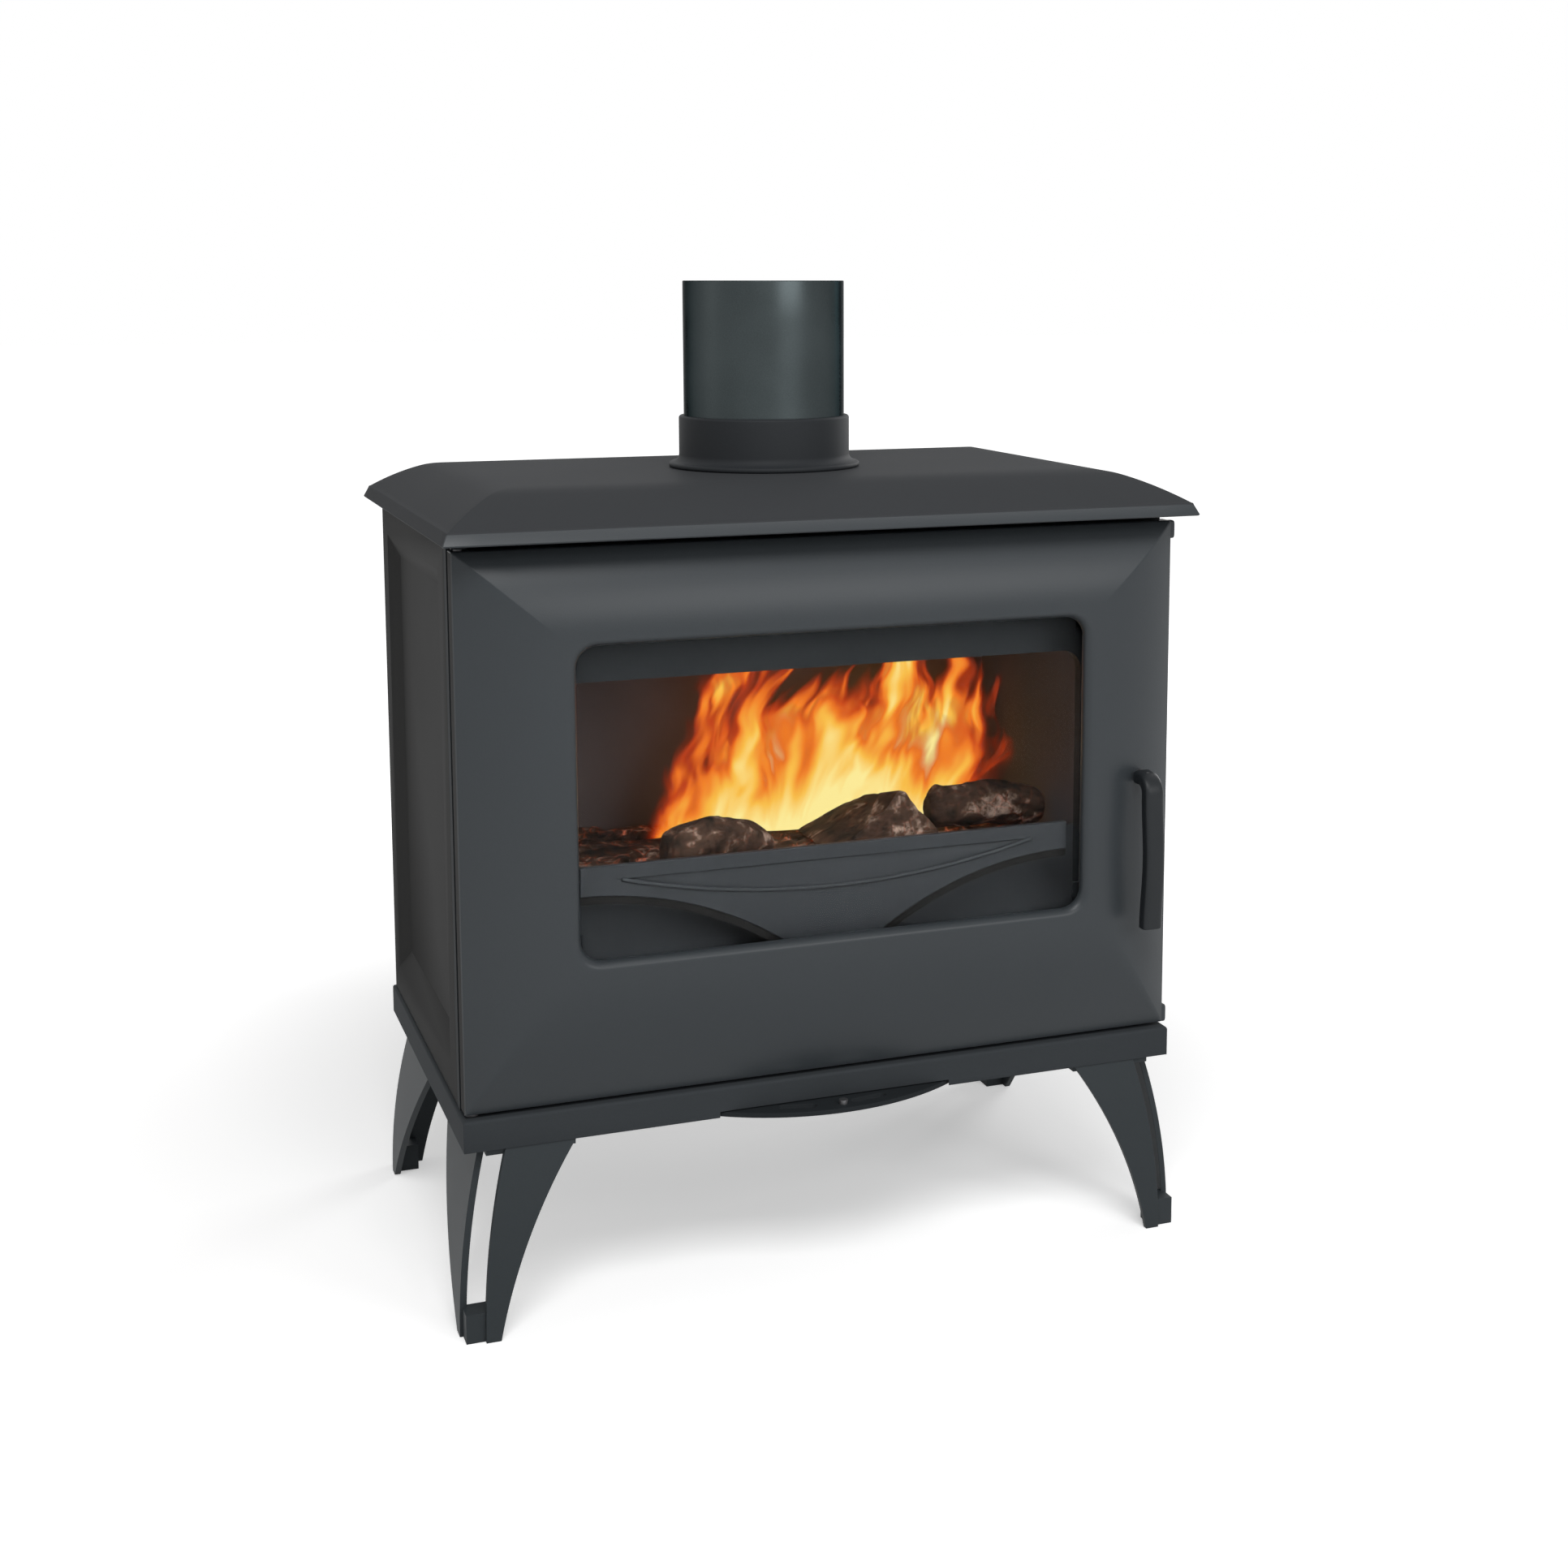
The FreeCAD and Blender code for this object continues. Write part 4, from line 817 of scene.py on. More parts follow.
    def nubs(self) -> bpy.types.Object:
        """Two small stops at the right edge, each a superellipsoid: half size times cos and sin to a power.

        Returns:
            One object with both stops.
        """
        u = np.linspace(-math.pi, math.pi, 25)[:, None]
        v = np.linspace(-math.pi / 2, math.pi / 2, 17)[None, :]
        cos_u, sin_u = squared(np.cos(u), self.nub_power), squared(np.sin(u), self.nub_power)
        cos_v, sin_v = squared(np.cos(v), self.nub_power), squared(np.sin(v), self.nub_power)
        ball = np.stack([cos_u * cos_v, sin_u * cos_v, sin_v + 0 * u], -1)
        depth = self.rim_depth * self.nub_depth_share
        half = self.nub_height / 2
        size = np.array([self.nub, depth, half])
        pieces = []
        for z in (self.low[2] + half, self.high[2] - half):
            middle = np.array([self.half_width - self.nub_sink, self.rim + depth, z])
            pieces.append(Surface.grid("door_nub", ball * size + middle, (False, False), sharp_deg=40.0))
        return Surface.join(pieces, "door_nubs")

    def bosses(self) -> bpy.types.Object:
        """Turns round bosses on the door's back, one for the spindle's bush and four for the glass clips.

        Returns:
            One object with all bosses.
        """
        bush_low, bush_high = span("handle_bush")
        screw_low, screw_high = span("clip_screws")
        glass_high = span("door_glass")[1]
        x_clip = glass_high[0] + self.clip_boss
        head = screw_high[0] - x_clip
        places = [(self.bush_boss, (bush_low + bush_high) / 2, self.bush_sink_share, bush_high[1])]
        places += [(self.clip_boss, np.array([x, 0.0, z]), self.clip_sink_share, glass_high[1])
                   for x in (-x_clip, x_clip) for z in (screw_low[2] + head, screw_high[2] - head)]
        pieces = []
        for radius, middle, sink_share, stop in places:
            start = self.face + self.wall * sink_share
            profile = np.array([(self.boss_core, start), (radius, start), (radius, stop - self.boss_ease),
                                (radius - self.boss_ease, stop), (self.boss_core, stop)])
            centre = middle * np.array([1, 0, 1])
            pieces.append(Surface.turned("door_boss", profile, centre, Axis.DEPTH, 40))
        return Surface.join(pieces, "door_bosses")

    def build(self) -> None:
        """Builds the skin, its left rim in the darker side finish as painted shade, and the stops and bosses
        that belong to it.
        """
        skin = stand_for(self.skin(), "door")
        # painted shade: the rim's left face takes the side panels' darker, duller finish
        refinish(skin, IRON_SIDE, (-math.inf, self.rim + self.edge / 2, -math.inf),
                 (self.edge_margin - self.half_width, math.inf, math.inf))
        for part in (self.nubs(), self.bosses()):
            add_to(Body.DOOR, part, IRON.material())


@dataclass
class SealRope:
    """The rope seal in the back of the door: an oval section carried round the door."""

    radius: float = 4.7 * MM
    corner: float = 12.0 * MM
    strands: int = 3
    lay: int = 160
    twist_share: float = 0.06

    def build(self) -> None:
        """Sweeps an oval whose depth shrinks between the strands: 1 - share (1 + cos(strands a + lay s))."""
        low, high = span("door_rope")
        half = (high[1] - low[1]) / 2
        loops = []
        for a in round_angles(16):
            inset = self.radius * (math.cos(a) + 1)
            loop = Surface.perimeter((low[0] + inset, low[2] + inset), (high[0] - inset, high[2] - inset),
                                     (self.corner - inset / 2,) * 4, 9, 120)
            s = round_angles(len(loop))
            swell = 1 - self.twist_share * (1 + np.cos(self.strands * a + self.lay * s))
            y = (low[1] + high[1]) / 2 - half * math.sin(a) * swell
            loops.append(np.stack([loop[:, 0], y, loop[:, 1]], -1))
        stand_for(Surface.grid("seal_rope", np.stack(loops), (True, True), sharp_deg=60.0), "door_rope")


@dataclass
class Lid:
    """The crowned lid: a lip, four bowed slopes that meet in hips, a flat top and a hollow underneath."""

    lip: float = 12.0 * MM
    crown: float = 27.0 * MM
    side_run: float = 62.0 * MM
    front_run: float = 78.0 * MM
    back_run: float = 66.0 * MM
    slope_share: float = 1.35
    bow_share: float = 0.44
    soft_share: float = 0.16
    wall: float = 9.0 * MM
    edge: float = 1.6 * MM
    draft: float = 4.2 * MM
    hip_corner: float = 1.0 * MM
    hole: float = 76.2 * MM
    panel: float = 16.0 * MM
    band_foot: float = 0.1 * MM
    band_head: float = 0.2 * MM

    def build(self) -> None:
        """Carries the perimeter from the lip to the flue hole and back below.

        The slopes rise by t + bow t (1 - t) and run out softly into the flat top, by a smooth minimum. The
        lip's front band has the door's darker, glossier finish, a painted highlight band against the lid's
        own tone.
        """
        low, high = span("top_plate")
        floor = low[2]
        lip_top = floor + self.lip
        top = lip_top + self.crown
        hips = (self.hip_corner,) * 4

        def rect(side: float, front: float, back: float) -> np.ndarray:
            """Gives the lid's outline, moved in.

            Args:
                side: inset at both sides.
                front: inset at the front.
                back: inset at the back.

            Returns:
                Array of points by two.
            """
            return Surface.perimeter((low[0] + side, low[1] + front), (high[0] - side, high[1] - back), hips)

        e = self.edge
        ease = np.radians(np.linspace(0.0, 90.0, 5))
        stations = [(rect(*(e * (1 - math.sin(a)),) * 3), floor + e * (1 - math.cos(a))) for a in ease]
        stations += [(rect(*(self.draft + e * (1 - math.cos(a)),) * 3), lip_top - e + e * math.sin(a))
                     for a in ease]
        start = rect(*(self.draft + e,) * 3)
        brow = rect(self.side_run, self.front_run, self.back_run)
        t = np.linspace(0.0, self.slope_share, 26)
        slope = t + self.bow_share * t * (1 - t)
        blend = np.clip(0.5 + 0.5 * (1 - slope) / self.soft_share, 0, 1)
        rise = np.minimum(1 - blend + slope * blend - self.soft_share * blend * (1 - blend), 1)
        stations += [(start + (brow - start) * a, lip_top + self.crown * b) for a, b in zip(t, rise)]
        flat = stations[-1][0]
        middle = np.array([0.0, (low[1] + high[1]) / 2])
        away = flat - middle
        circle = middle + self.hole * away / np.linalg.norm(away, axis=1, keepdims=True)
        stations += [(flat + (circle - flat) * a, top) for a in steps(7)]
        under = top - self.wall
        near = np.array([span("side_panel_left")[0][0] + self.panel, span("front_frame")[1][1]])
        far = np.array([-near[0], span("back_panel")[0][1]])
        lean = self.side_run / 2
        high_hollow = Surface.perimeter(near + lean, far - lean, hips)
        stations += [(circle, under)]
        stations += [(circle + (high_hollow - circle) * a, under) for a in steps(4)]
        stations += [(Surface.perimeter(near, far, hips), floor)]
        points = Surface.stacked(*zip(*stations), Axis.UPRIGHT)
        skin = stand_for(Surface.grid("lid_skin", points, (True, True), sharp_deg=24.0), "top_plate")
        # painted light: the lip's front band takes the door's finish so that it catches the lamp as a lit
        # bead
        refinish(skin, IRON, (-math.inf, -math.inf, floor + self.band_foot),
                 (math.inf, low[1] + self.draft, lip_top - self.band_head))


@dataclass
class Flue:
    """The cast collar with its rounded foot and the pipe that stands in it."""

    bore: float = 76.2 * MM
    lower_bore: float = 70.0 * MM
    shoulder: float = 36.0 * MM
    spigot_gap: float = 0.4 * MM
    socket_gap: float = 0.2 * MM
    foot_height: float = 5.0 * MM
    foot_round: float = 2.2 * MM
    foot_undercut: float = 3.0 * MM
    wall_radius: float = 81.3 * MM
    crest_round: float = 2.5 * MM
    pipe_wall: float = 2.0 * MM
    pipe_swage: float = 0.6 * MM
    pipe_rings: tuple[float, float] = (30.0 * MM, 90.0 * MM)

    def build(self) -> None:
        """Turns the collar's and the pipe's closed profiles about the flue's axis."""
        low, high = span("flue_collar")
        pipe_low, pipe_high = span("flue_pipe")
        centre = np.array([0.0, (low[1] + high[1]) / 2, 0.0])
        foot = (high[0] - low[0]) / 2
        seat, crest = span("top_plate")[1][2], high[2]
        spigot, socket = self.bore - self.spigot_gap, self.bore + self.socket_gap
        r, c = self.foot_round, self.crest_round
        cove = foot - r - self.wall_radius
        z_bead = seat + self.foot_height
        collar = np.concatenate([
            [(self.lower_bore, low[2]), (spigot, low[2]), (spigot, seat), (foot - self.foot_undercut, seat)],
            arc_points((foot - r, seat + r), r, -60, 0, 5),
            arc_points((foot - r, z_bead - r), r, 0, 90),
            arc_points((self.wall_radius + cove, z_bead + cove), cove, 270, 180),
            arc_points((self.wall_radius - c, crest - c), c, 0, 70, 5),
            [(socket, crest), (socket, crest - self.shoulder), (self.lower_bore, crest - self.shoulder)]])
        stand_for(Surface.turned("collar_turned", collar, centre), "flue_collar")
        outer = (pipe_high[0] - pipe_low[0]) / 2
        swaged = outer - self.pipe_swage
        half = self.pipe_wall / 2
        pipe = np.concatenate([
            [(outer - self.pipe_wall, pipe_low[2]), (swaged, pipe_low[2]), (swaged, crest), (outer, crest)],
            [(outer, crest + rise) for rise in self.pipe_rings],
            arc_points((outer - half, pipe_high[2] - half), half, 0, 180)])
        stand_for(Surface.turned("pipe_turned", pipe, centre, count=160), "flue_pipe")


@dataclass
class HandleLever:
    """The drop handle: an arm out of the door that bends down into a gently bowed grip."""

    width: float = 19.0 * MM
    thickness: float = 12.8 * MM
    shoulder: float = 13.0 * MM
    bow: float = 4.0 * MM
    tip: float = 1.5 * MM
    clear: float = 0.2 * MM
    section_power: float = 0.5
    tip_share: float = 0.75
    flare_rings: tuple[int, ...] = (0, 5, 14, 30)
    flare_shares: tuple[float, ...] = (1.0, 0.95, 1.0, 1.0, 1.06)

    def build(self) -> None:
        """Sweeps a rounded oblong along the arm, a quarter turn and the grip.

        Along the grip y = grip - bow (1 - cos(2 pi s)) / 2, and the section's size follows the flare.
        """
        low, high = span("handle_lever")
        spindle_low, spindle_high = span("handle_spindle")
        x = (low[0] + high[0]) / 2
        z_arm = (spindle_low[2] + spindle_high[2]) / 2
        y_grip = low[1] + self.thickness / 2 + self.bow + self.clear
        r = self.shoulder
        arm = np.stack([np.linspace(high[1], y_grip + r, 6), np.full(6, z_arm)], -1)
        bend = arc_points((y_grip + r, z_arm - r), r, 90, 180, 10)[1:]
        s = steps(39)
        grip = np.stack([y_grip - self.bow * 0.5 * (1 - np.cos(2 * math.pi * s)),
                         z_arm - r + (low[2] + self.tip - z_arm + r) * s], -1)
        end = steps(4)
        foot = grip[-1] + np.stack([0 * end, -self.tip * end], -1)
        path = np.concatenate([arm, bend, grip, foot])
        tangent = np.gradient(path, axis=0)
        tangent /= np.linalg.norm(tangent, axis=1, keepdims=True)
        normal = np.stack([-tangent[:, 1], tangent[:, 0]], -1)
        size = np.ones(len(path))
        size[-len(end):] = self.tip_share + (1 - self.tip_share) * np.sqrt(np.maximum(1 - end ** 2, 0))
        flare = np.interp(np.arange(len(path)), (*self.flare_rings, len(path) - 1), self.flare_shares)
        scale = (size * flare)[:, None]
        angle = round_angles(32)
        across = squared(np.cos(angle), self.section_power) * self.width / 2
        through = squared(np.sin(angle), self.section_power) * self.thickness / 2
        y = path[:, :1] + normal[:, :1] * through * scale
        z = path[:, 1:] + normal[:, 1:] * through * scale
        points = Surface.capped(np.stack([x + across * scale, y, z], -1))
        stand_for(Surface.grid("lever_swept", points, (False, True), sharp_deg=40.0), "handle_lever")


@dataclass(frozen=True)
class RoundLog:
    """A round log: its CAD node, length, turn about the upright, seed and loss of radius to its ends."""

    node: str
    length: float
    turn_deg: float
    seed: int
    taper_share: float


@dataclass(frozen=True)
class FlameSheet:
    """A standing sheet of flame: depth, foot and crest, seed, and the x of its edges at even heights."""

    name: str
    y: float
    z: tuple[float, float]
    seed: float
    left: tuple[float, ...]
    right: tuple[float, ...]


@dataclass
class Fire:
    """Logs and embers in place of their CAD solids, and the flames above them."""

    round_logs: tuple[RoundLog, ...] = (RoundLog("log_left", 0.12, 20.0, 3, 0.55),
                                        RoundLog("log_right", 0.122, -4.0, 8, 0.25))
    sheets: tuple[FlameSheet, ...] = (
        FlameSheet("flame_back", 0.1, (0.36, 0.59), 1.3, (-0.1, -0.085, -0.06, -0.03, 0.0),
                   (0.27, 0.285, 0.287, 0.287, 0.28)),
        FlameSheet("flame_front", 0.03, (0.365, 0.59), 4.1, (-0.12, -0.11, -0.09, -0.055, -0.02),
                   (0.25, 0.286, 0.288, 0.288, 0.268)))
    bark_wave: float = 20.0 * MM
    grain_share: float = 0.35
    knob_share: float = 0.12
    hump_share: float = -0.14
    taper_power: float = 1.7
    end_shares: tuple[float, ...] = (0.0, 0.22, 0.45)
    worn_run_share: float = 0.08
    worn_share: float = 0.55
    split_lean: float = 13.0 * MM
    split_fall_share: float = 0.5
    split_wave: float = 30.0 * MM
    split_grain_share: float = 0.25
    split_tear: float = 4.5 * MM
    split_sink: float = 1.8 * MM
    split_seed: int = 5
    ember_wave: float = 30.0 * MM
    ember_level_share: float = 0.86
    ember_rough_share: float = 0.2
    ember_seed: int = 21
    belly: float = 14.0 * MM
    belly_wave: tuple[float, float] = (0.12, 0.2)

    @staticmethod
    def bark(name: str, glow: float) -> bpy.types.Material:
        """Burning bark: dark, flecked with ash, with red heat in the cracks.

        Args:
            name: name of the material.
            glow: strength of the heat in the cracks.

        Returns:
            The material.
        """
        material, n, shader = principled(name, Emission_Strength=glow, Roughness=0.92,
                                         Specular_IOR_Level=0.15)
        place = n.add("ShaderNodeTexCoord").outputs["Object"]
        cells = n.add("ShaderNodeTexVoronoi", feature="DISTANCE_TO_EDGE", in_Scale=70.0)
        ash = n.add("ShaderNodeTexNoise", in_Scale=46.0, in_Detail=7.0, in_Roughness=0.72)
        n.wire(place, cells.inputs["Vector"])
        n.wire(place, ash.inputs["Vector"])
        skin = n.ramp(ash.outputs[0], [(0.36, (0.006, 0.004, 0.003)), (0.54, (0.055, 0.03, 0.019)),
                                       (0.68, (0.34, 0.24, 0.19))])
        n.wire(skin, shader.inputs["Base Color"])
        crack = n.math("SUBTRACT", 1.0, n.math("MULTIPLY", cells.outputs[0], 26.0, clamp=True), clamp=True)
        draught = n.math("MULTIPLY", n.math("SUBTRACT", ash.outputs[0], 0.45), 3.0, clamp=True)
        heat = n.ramp(n.math("MULTIPLY", crack, draught),
                      [(0.0, (0.0, 0.0, 0.0)), (0.5, (0.3, 0.04, 0.008)), (1.0, (1.0, 0.3, 0.06))])
        n.wire(heat, shader.inputs["Emission Color"])
        bump = n.add("ShaderNodeBump", in_Strength=0.7, in_Distance=3.0 * MM)
        n.wire(ash.outputs[0], bump.inputs["Height"])
        n.wire(bump.outputs[0], shader.inputs["Normal"])
        return material

    @staticmethod
    def flame(name: str, seed: float) -> bpy.types.Material:
        """Flame: light only, clear where the mask is empty.

        Args:
            name: name of the material.
            seed: picks the flame's noise.

        Returns:
            The material.
        """
        material, n, shader = principled(name, Base_Color=(0.0, 0.0, 0.0, 1.0), Roughness=1.0,
                                         Specular_IOR_Level=0.0, Emission_Strength=1.0)
        body = n.add("ShaderNodeGroup", node_tree=Groups.flame_body(), in_Seed=seed)
        light = n.ramp(body.outputs["Heat"],
                       [(0.0, (0.25, 0.012, 0.003)), (0.22, (0.62, 0.056, 0.008)), (0.42, (0.89, 0.22, 0.02)),
                        (0.66, (0.97, 0.53, 0.07)), (0.96, (1.0, 0.84, 0.32))])
        n.wire(light, shader.inputs["Emission Color"])
        n.wire(body.outputs["Mask"], shader.inputs["Alpha"])
        return material

    def round_log(self, shape: RoundLog) -> bpy.types.Object:
        """Sweeps a knobbly circle along the log: r (1 - taper |s - hump|^1.7) (1 - k + k noise).

        Towards both ends the circle shrinks like a worn edge, then closes in steps on the middle line.

        Args:
            shape: the log.

        Returns:
            The log's skin.
        """
        low, high = span(shape.node)
        radius = (high[2] - low[2]) / 2
        turn = math.radians(shape.turn_deg)
        along = np.array([math.cos(turn), math.sin(turn), 0.0])
        side = np.array([-math.sin(turn), math.cos(turn), 0.0])
        up = np.array([0.0, 0.0, 1.0])
        run = np.linspace(0.0, 1.0, 56)
        cap = len(self.end_shares)
        s = np.concatenate([np.zeros(cap), run, np.ones(cap)]) - 0.5
        near_end = np.clip(1 - np.minimum(run, 1 - run) / self.worn_run_share, 0, 1)
        worn = np.sqrt(1 - self.worn_share * near_end ** 2)
        shrink = np.concatenate([self.end_shares, worn, self.end_shares[::-1]])
        a = round_angles(64)
        ring = np.cos(a)[None, :, None] * side + np.sin(a)[None, :, None] * up
        base = (low + high) / 2 + along * shape.length * s[:, None, None]
        grain = wave_noise((base * self.grain_share + ring * radius) / self.bark_wave, shape.seed, 5)
        away = np.abs(s - self.hump_share) / (0.5 - self.hump_share)
        lost = shape.taper_share * away[:, None] ** self.taper_power
        rough = (1 - lost) * (1 - self.knob_share + self.knob_share * np.clip(grain, -1.3, 1.0))
        points = base - up * (radius * lost)[..., None] + ring * (radius * shrink[:, None] * rough)[..., None]
        return Surface.grid(shape.node + "_bark", points, (False, True), sharp_deg=50.0)

    def split_log(self) -> bpy.types.Object:
        """Sweeps a triangle with rounded corners back and down, its faces torn by noise along the grain.

        Returns:
            The log's skin.
        """
        low, high = span("log_split")
        ridge = (low[0] + high[0]) / 2 + self.split_lean
        foot = np.array([[low[0], low[2]], [high[0], low[2]], [ridge, high[2]]])
        share = np.linspace(0.0, 1.0, 26, endpoint=False)[None, :, None]
        outline = (foot[:, None] + (np.roll(foot, -1, axis=0) - foot)[:, None] * share).reshape(-1, 2)
        middle = foot.mean(0)
        soft = (np.roll(outline, 2, 0) + np.roll(outline, -2, 0) + outline) / 3
        y = np.concatenate([[0.0, 0.0], np.linspace(0.0, 1.0, 40), [1.0, 1.0]])
        shrink = np.concatenate([[0.0, 0.6], np.full(40, 1.0), [0.6, 0.0]])[:, None, None]
        flat = middle + (soft - middle)[None] * shrink
        depth = (low[1] + (high[1] - low[1]) * y)[:, None] + 0 * flat[..., 0]
        fall = 1 - self.split_fall_share * y[:, None]
        points = np.stack([flat[..., 0], depth, low[2] + (flat[..., 1] - low[2]) * fall], -1)
        stretched = points * np.array([1, self.split_grain_share, 1]) / self.split_wave
        grain = np.clip(wave_noise(stretched, self.split_seed, 5), -1.0, 0.4) * self.split_tear
        away = (points - np.array([middle[0], 0, middle[1]])) * np.array([1, 0, 1])
        away /= np.maximum(np.linalg.norm(away, axis=-1, keepdims=True), WELD)
        points += away * (grain - self.split_sink)[..., None]
        return Surface.grid("log_split_bark", points, (False, True), sharp_deg=50.0)

    def embers(self) -> bpy.types.Object:
        """A heap of embers: height is a noise field that falls to the floor at its edges, closed below.

        Returns:
            The heap.
        """
        low, high = span("ember_bed")
        u = np.linspace(-1.0, 1.0, 150)[:, None] * np.ones((1, 80))
        v = np.linspace(-1.0, 1.0, 80)[None, :] * np.ones((150, 1))
        x = (low[0] + high[0]) / 2 + u * (high[0] - low[0]) / 2
        y = (low[1] + high[1]) / 2 + v * (high[1] - low[1]) / 2
        noise = np.clip(wave_noise(np.stack([x, y, 0 * x], -1) / self.ember_wave, self.ember_seed), -1, 0.7)
        height = (high[2] - low[2]) * (self.ember_level_share + self.ember_rough_share * noise)
        edge = np.clip((1 - np.abs(u)) * 9, 0, 1) * np.clip((1 - np.abs(v)) * 5, 0, 1)
        top = np.stack([x, y, low[2] + edge * height], -1)
        floor = np.stack([x, y, low[2] + 0 * x], -1)
        pieces = [Surface.grid("ember_top", top, (False, False), sharp_deg=60.0),
                  Surface.grid("ember_floor", floor, (False, False), sharp_deg=60.0)]
        return Surface.join(pieces, "ember_heap", weld=True)

    def sheet(self, shape: FlameSheet) -> bpy.types.Object:
        """Builds a flame's sheet: straight lines from its left to its right edge, bellied by noise.

        Args:
            shape: the sheet.

        Returns:
            The sheet, open at its edges.
        """
        s = np.linspace(0.0, 1.0, 60)[None, :]
        t = np.linspace(0.0, 1.0, 36)[:, None]
        heights = np.linspace(0.0, 1.0, len(shape.left))
        left, right = np.interp(t, heights, shape.left), np.interp(t, heights, shape.right)
        x = left + (right - left) * s
        z = shape.z[0] + (shape.z[1] - shape.z[0]) * t + 0 * s
        wide, tall = self.belly_wave
        spots = np.stack([x / wide, z / tall, 0 * x], -1)
        y = shape.y + self.belly * wave_noise(spots, int(shape.seed * 10), 2)
        return Surface.grid(shape.name, np.stack([x, y, z], -1), (False, False), sharp_deg=80.0)

    def build(self) -> None:
        """Builds logs and embers for their nodes, and two layers of flame on the stove's body."""
        bark = self.bark("burning_bark", 0.35)
        ember = self.bark("glowing_embers", 1.3)
        for shape in self.round_logs:
            stand_for(self.round_log(shape), shape.node, bark)
        stand_for(self.split_log(), "log_split", bark)
        stand_for(self.embers(), "ember_bed", ember)
        for shape in self.sheets:
            add_to(Body.STOVE, self.sheet(shape), self.flame(shape.name, shape.seed))


@dataclass
class GuardTrim:
    """The painted shadow strip under each of the log guard's two arches, and the fine bead along its sunk
    field.
    """

    end: float = 26.0 * MM
    foot: float = 33.0 * MM
    seam: float = 7.0 * MM
    lap: float = 0.8 * MM
    front_step: float = 1.6 * MM
    back_step: float = 0.6 * MM
    field_inset: float = 37.0 * MM
    field_drop: float = 13.0 * MM
    field_sag: float = 25.0 * MM
    bead: float = 2.0 * MM

    @staticmethod
    def sweep(name: str, centre: tuple[float, float], radius: float, angles: np.ndarray,
              section: np.ndarray) -> bpy.types.Object:
        """Carries a closed section along a circle in the guard's plane: centre + (r + out) (sin a, cos a).

        Args:
            name: name of the new object.
            centre: the circle's centre in x and z.
            radius: the circle's radius.
            angles: angles from the upright.
            section: points by two: out from the circle, and y.

        Returns:
            The new object, its ends closed.
        """
        reach, y = radius + section[None, :, 0], section[None, :, 1]
        a = angles[:, None]
        points = np.stack([centre[0] + reach * np.sin(a), y + 0 * a, centre[1] + reach * np.cos(a)], -1)
        return Surface.grid(name, Surface.capped(points), (False, True), sharp_deg=40.0)

    def build(self) -> None:
        """Builds both painted shadow strips and the bead on the stove's body."""
        low, high = span("log_guard")
        half = high[0]
        z_end = high[2] - self.end
        run, drop = half - self.foot, z_end - low[2]
        radius = (run ** 2 + drop ** 2) / (2 * drop)
        turn = np.linspace(0.0, math.asin(run / radius), 50)
        front, back = low[1] + self.front_step, high[1] - self.back_step
        # painted shadow: a dark strip in the guard's thickness just under each arch, where the gap behind
        # lies in shade
        shadow_section = np.array([(self.lap, front), (self.lap, back), (-self.seam, back), (-self.seam, front)])
        z_centre = z_end - radius
        parts = [(self.sweep("arch_shadow_strip", (side * half, z_centre), radius, -side * turn, shadow_section), SOOT_AND_SHADOW)
                 for side in (-1, 1)]
        reach = half - self.field_inset
        bow = (reach ** 2 + self.field_sag ** 2) / (2 * self.field_sag)
        swing = math.pi + np.linspace(-1.0, 1.0, 80) * math.asin(reach / bow)
        circle = round_angles(12)
        bead = self.bead * np.stack([np.cos(circle), np.sin(circle)], -1) + np.array([0.0, low[1]])
        centre = (0.0, high[2] - self.field_drop - self.field_sag + bow)
        parts.append((self.sweep("field_bead", centre, bow, swing, bead), IRON_FIRE))
        for part, finish in parts:
            add_to(Body.STOVE, part, finish.material())


class Glass:
    """The clear window pane, which lets lamp light pass."""

    @staticmethod
    def material() -> bpy.types.Material:
        """Principled glass, and plain transparency for shadow rays.

        Returns:
            The material.
        """
        material, n, shader = principled("window_pane", Base_Color=(0.97, 0.97, 0.96, 1.0), Roughness=0.02,
                                         Transmission_Weight=1.0, IOR=1.08)
        clear = n.add("ShaderNodeBsdfTransparent")
        pick = n.add("ShaderNodeMixShader")
        n.wire(n.add("ShaderNodeLightPath").outputs["Is Shadow Ray"], pick.inputs[0])
        n.wire(shader.outputs[0], pick.inputs[1])
        n.wire(clear.outputs[0], pick.inputs[2])
        n.wire(pick.outputs[0], material.node_tree.nodes["Material Output"].inputs["Surface"])
        return material


@dataclass(frozen=True)
class Lamp:
    """One soft rectangular lamp that looks at the stove."""

    name: str
    place: tuple[float, float, float]
    target: tuple[float, float, float]
    size: tuple[float, float]
    power: float
    colour: tuple[float, float, float] = (1.0, 1.0, 1.0)

    def build(self) -> None:
        """Places the lamp."""
        data = bpy.data.lights.new(self.name, "AREA")
        data.shape = "RECTANGLE"
        data.size, data.size_y = self.size
        data.energy = self.power
        data.color = self.colour
        lamp = bpy.data.objects.new(self.name, data)
        lamp.location = self.place
        direction = np.array(self.target) - np.array(self.place)
        yaw = math.atan2(direction[1], direction[0]) - math.pi / 2
        tilt = math.atan2(direction[2], math.hypot(direction[0], direction[1])) + math.pi / 2
        lamp.rotation_euler = (tilt, 0.0, yaw)
        bpy.context.scene.collection.objects.link(lamp)


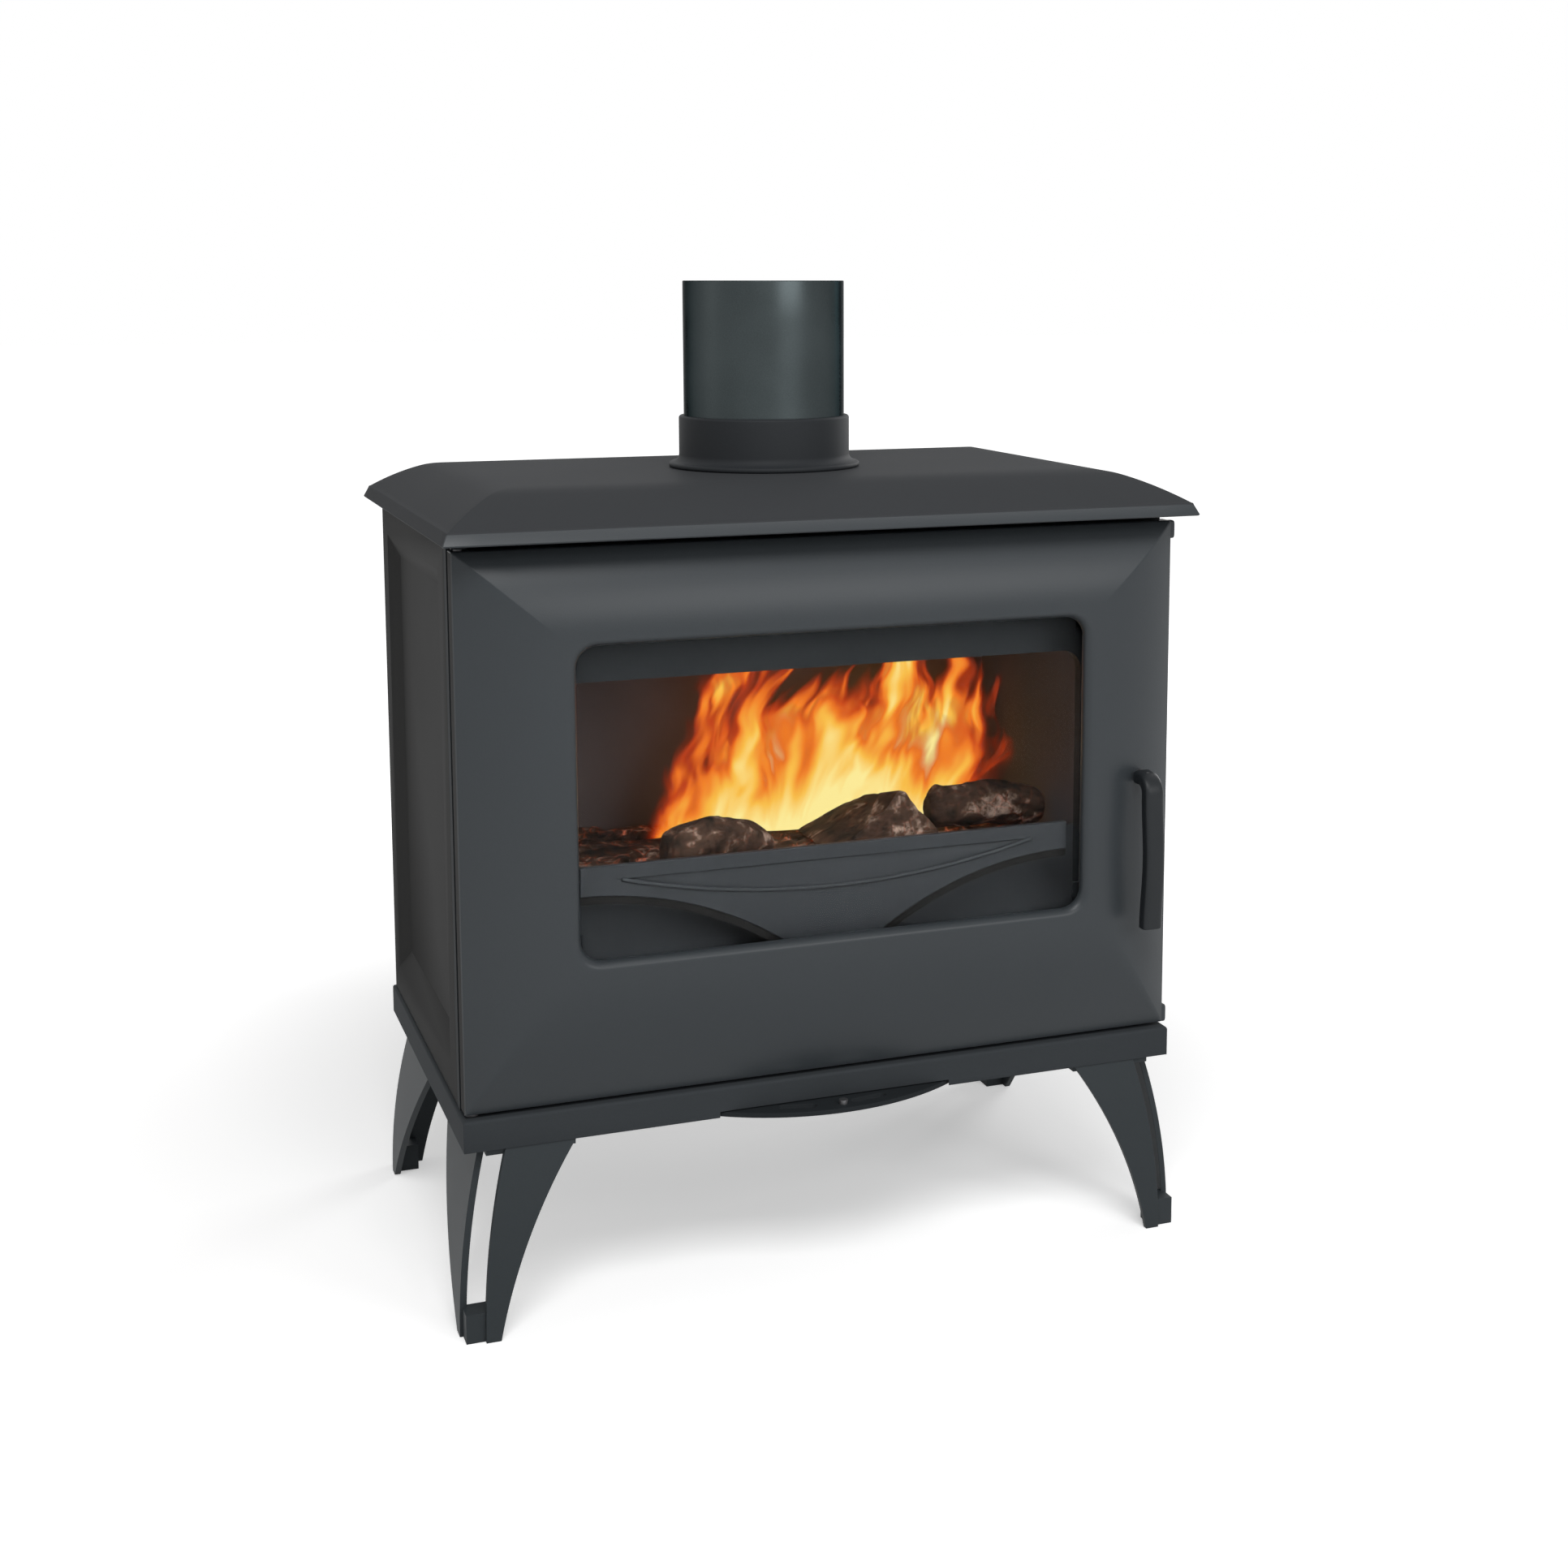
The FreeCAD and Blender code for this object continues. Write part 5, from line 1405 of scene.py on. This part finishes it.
@dataclass
class Studio:
    """Floor, light and the photograph's camera."""

    eye: tuple[float, float, float] = (-0.64458, -1.95326, 0.9066)
    yaw_deg: float = 20.804
    pitch_deg: float = 7.608
    focal_px: float = 2659.38
    centre_px: tuple[float, float] = (1064.0, 700.0)
    sensor: float = 36.0
    floor_half: float = 30.0
    shade_reach: tuple[float, float] = (0.5, 1.6)
    shade_lift: float = 0.42
    room_light: float = 0.16
    lamps: tuple[Lamp, ...] = (
        Lamp("key_above", (-0.6, -2.1, 2.95), (0.0, 0.0, 0.45), (1.6, 1.2), 66.0),
        Lamp("front_strip", (1.1, -3.0, 1.7), (0.0, 0.0, 0.65), (1.8, 1.2), 34.0),
        Lamp("left_fill", (-3.2, 0.4, 1.5), (0.0, 0.0, 0.45), (1.4, 1.8), 4.6, (1.0, 0.95, 0.9)),
        Lamp("right_fill", (2.9, 1.5, 1.5), (0.0, 0.0, 0.5), (1.4, 1.8), 26.0),
    )

    def camera(self) -> None:
        """Sets the camera from the fitted focal length and picture centre."""
        data = bpy.data.cameras.new("photo_camera")
        data.sensor_width = self.sensor
        data.lens = self.focal_px / PHOTO_SIDE * self.sensor
        data.shift_x = (PHOTO_SIDE / 2 - self.centre_px[0]) / PHOTO_SIDE
        data.shift_y = (self.centre_px[1] - PHOTO_SIDE / 2) / PHOTO_SIDE
        camera = bpy.data.objects.new("photo_camera", data)
        camera.location = self.eye
        camera.rotation_euler = (math.radians(90.0 - self.pitch_deg), 0.0, math.radians(-self.yaw_deg))
        bpy.context.scene.collection.objects.link(camera)
        bpy.context.scene.camera = camera

    def floor(self) -> None:
        """Lays a wide pale floor that lifts to white away from the stove and keeps the shadow near it."""
        side = np.array([-self.floor_half, self.floor_half])
        x, y = np.meshgrid(side, side)
        plane = Surface.grid("studio_floor", np.stack([x, y, 0 * x], -1), (False, False))
        material, n, shader = principled("studio_floor", Base_Color=(0.9, 0.9, 0.9, 1.0), Roughness=1.0,
                                         Specular_IOR_Level=0.0, Emission_Color=(1.0, 1.0, 1.0, 1.0))
        near, far = self.shade_reach
        away = n.add("ShaderNodeVectorMath", operation="LENGTH")
        n.wire(n.add("ShaderNodeTexCoord").outputs["Object"], away.inputs[0])
        lift = n.add("ShaderNodeMapRange", interpolation_type="SMOOTHSTEP", in_From_Min=near,
                     in_From_Max=far, in_To_Min=self.shade_lift, in_To_Max=1.0)
        n.wire(away.outputs["Value"], lift.inputs["Value"])
        n.wire(n.math("MULTIPLY", n.seen(), lift.outputs[0]), shader.inputs["Emission Strength"])
        dress(plane, material)

    def world(self) -> None:
        """Makes a white room for the camera and for reflections, dimmer as a light."""
        world = bpy.data.worlds.new("studio_room")
        bpy.context.scene.world = world
        world.use_nodes = True
        n = Nodes(world.node_tree)
        sky = world.node_tree.nodes["Background"]
        sky.inputs["Color"].default_value = (1.0, 1.0, 1.0, 1.0)
        n.wire(n.line(n.seen(), 1 - self.room_light, self.room_light), sky.inputs["Strength"])

    def build(self) -> None:
        """Sets the room up."""
        bpy.context.scene.view_settings.view_transform = "Standard"
        self.camera()
        self.floor()
        self.world()
        for lamp in self.lamps:
            lamp.build()


CASTINGS = (
    Casting("base_plate", 2.2 * MM),
    *(Casting(node, 1.2 * MM) for node in FINISHED_NODES[IRON_SIDE]),
    *(Casting(node, 1.0 * MM) for node in FINISHED_NODES[IRON_LEG]),
    Casting("register_disc", 0.8 * MM),
    Casting("log_guard", 1.0 * MM),
)


def main() -> None:
    """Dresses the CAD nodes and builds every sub-assembly in order."""
    logging.basicConfig(level=logging.INFO)
    for node, obj in frame["nodes"].items():
        if node in NODE_FINISH:
            dress(obj, NODE_FINISH[node].material())
    dress(frame["nodes"]["door_glass"], Glass.material())
    fittings = (Door(), SealRope(), Lid(), Flue(), HandleLever(), GuardTrim(), Fire(), Studio())
    for assembly in (*CASTINGS, *fittings):
        assembly.build()
        LOG.info("%s built", type(assembly).__name__)


if __name__ == "__main__":
    main()
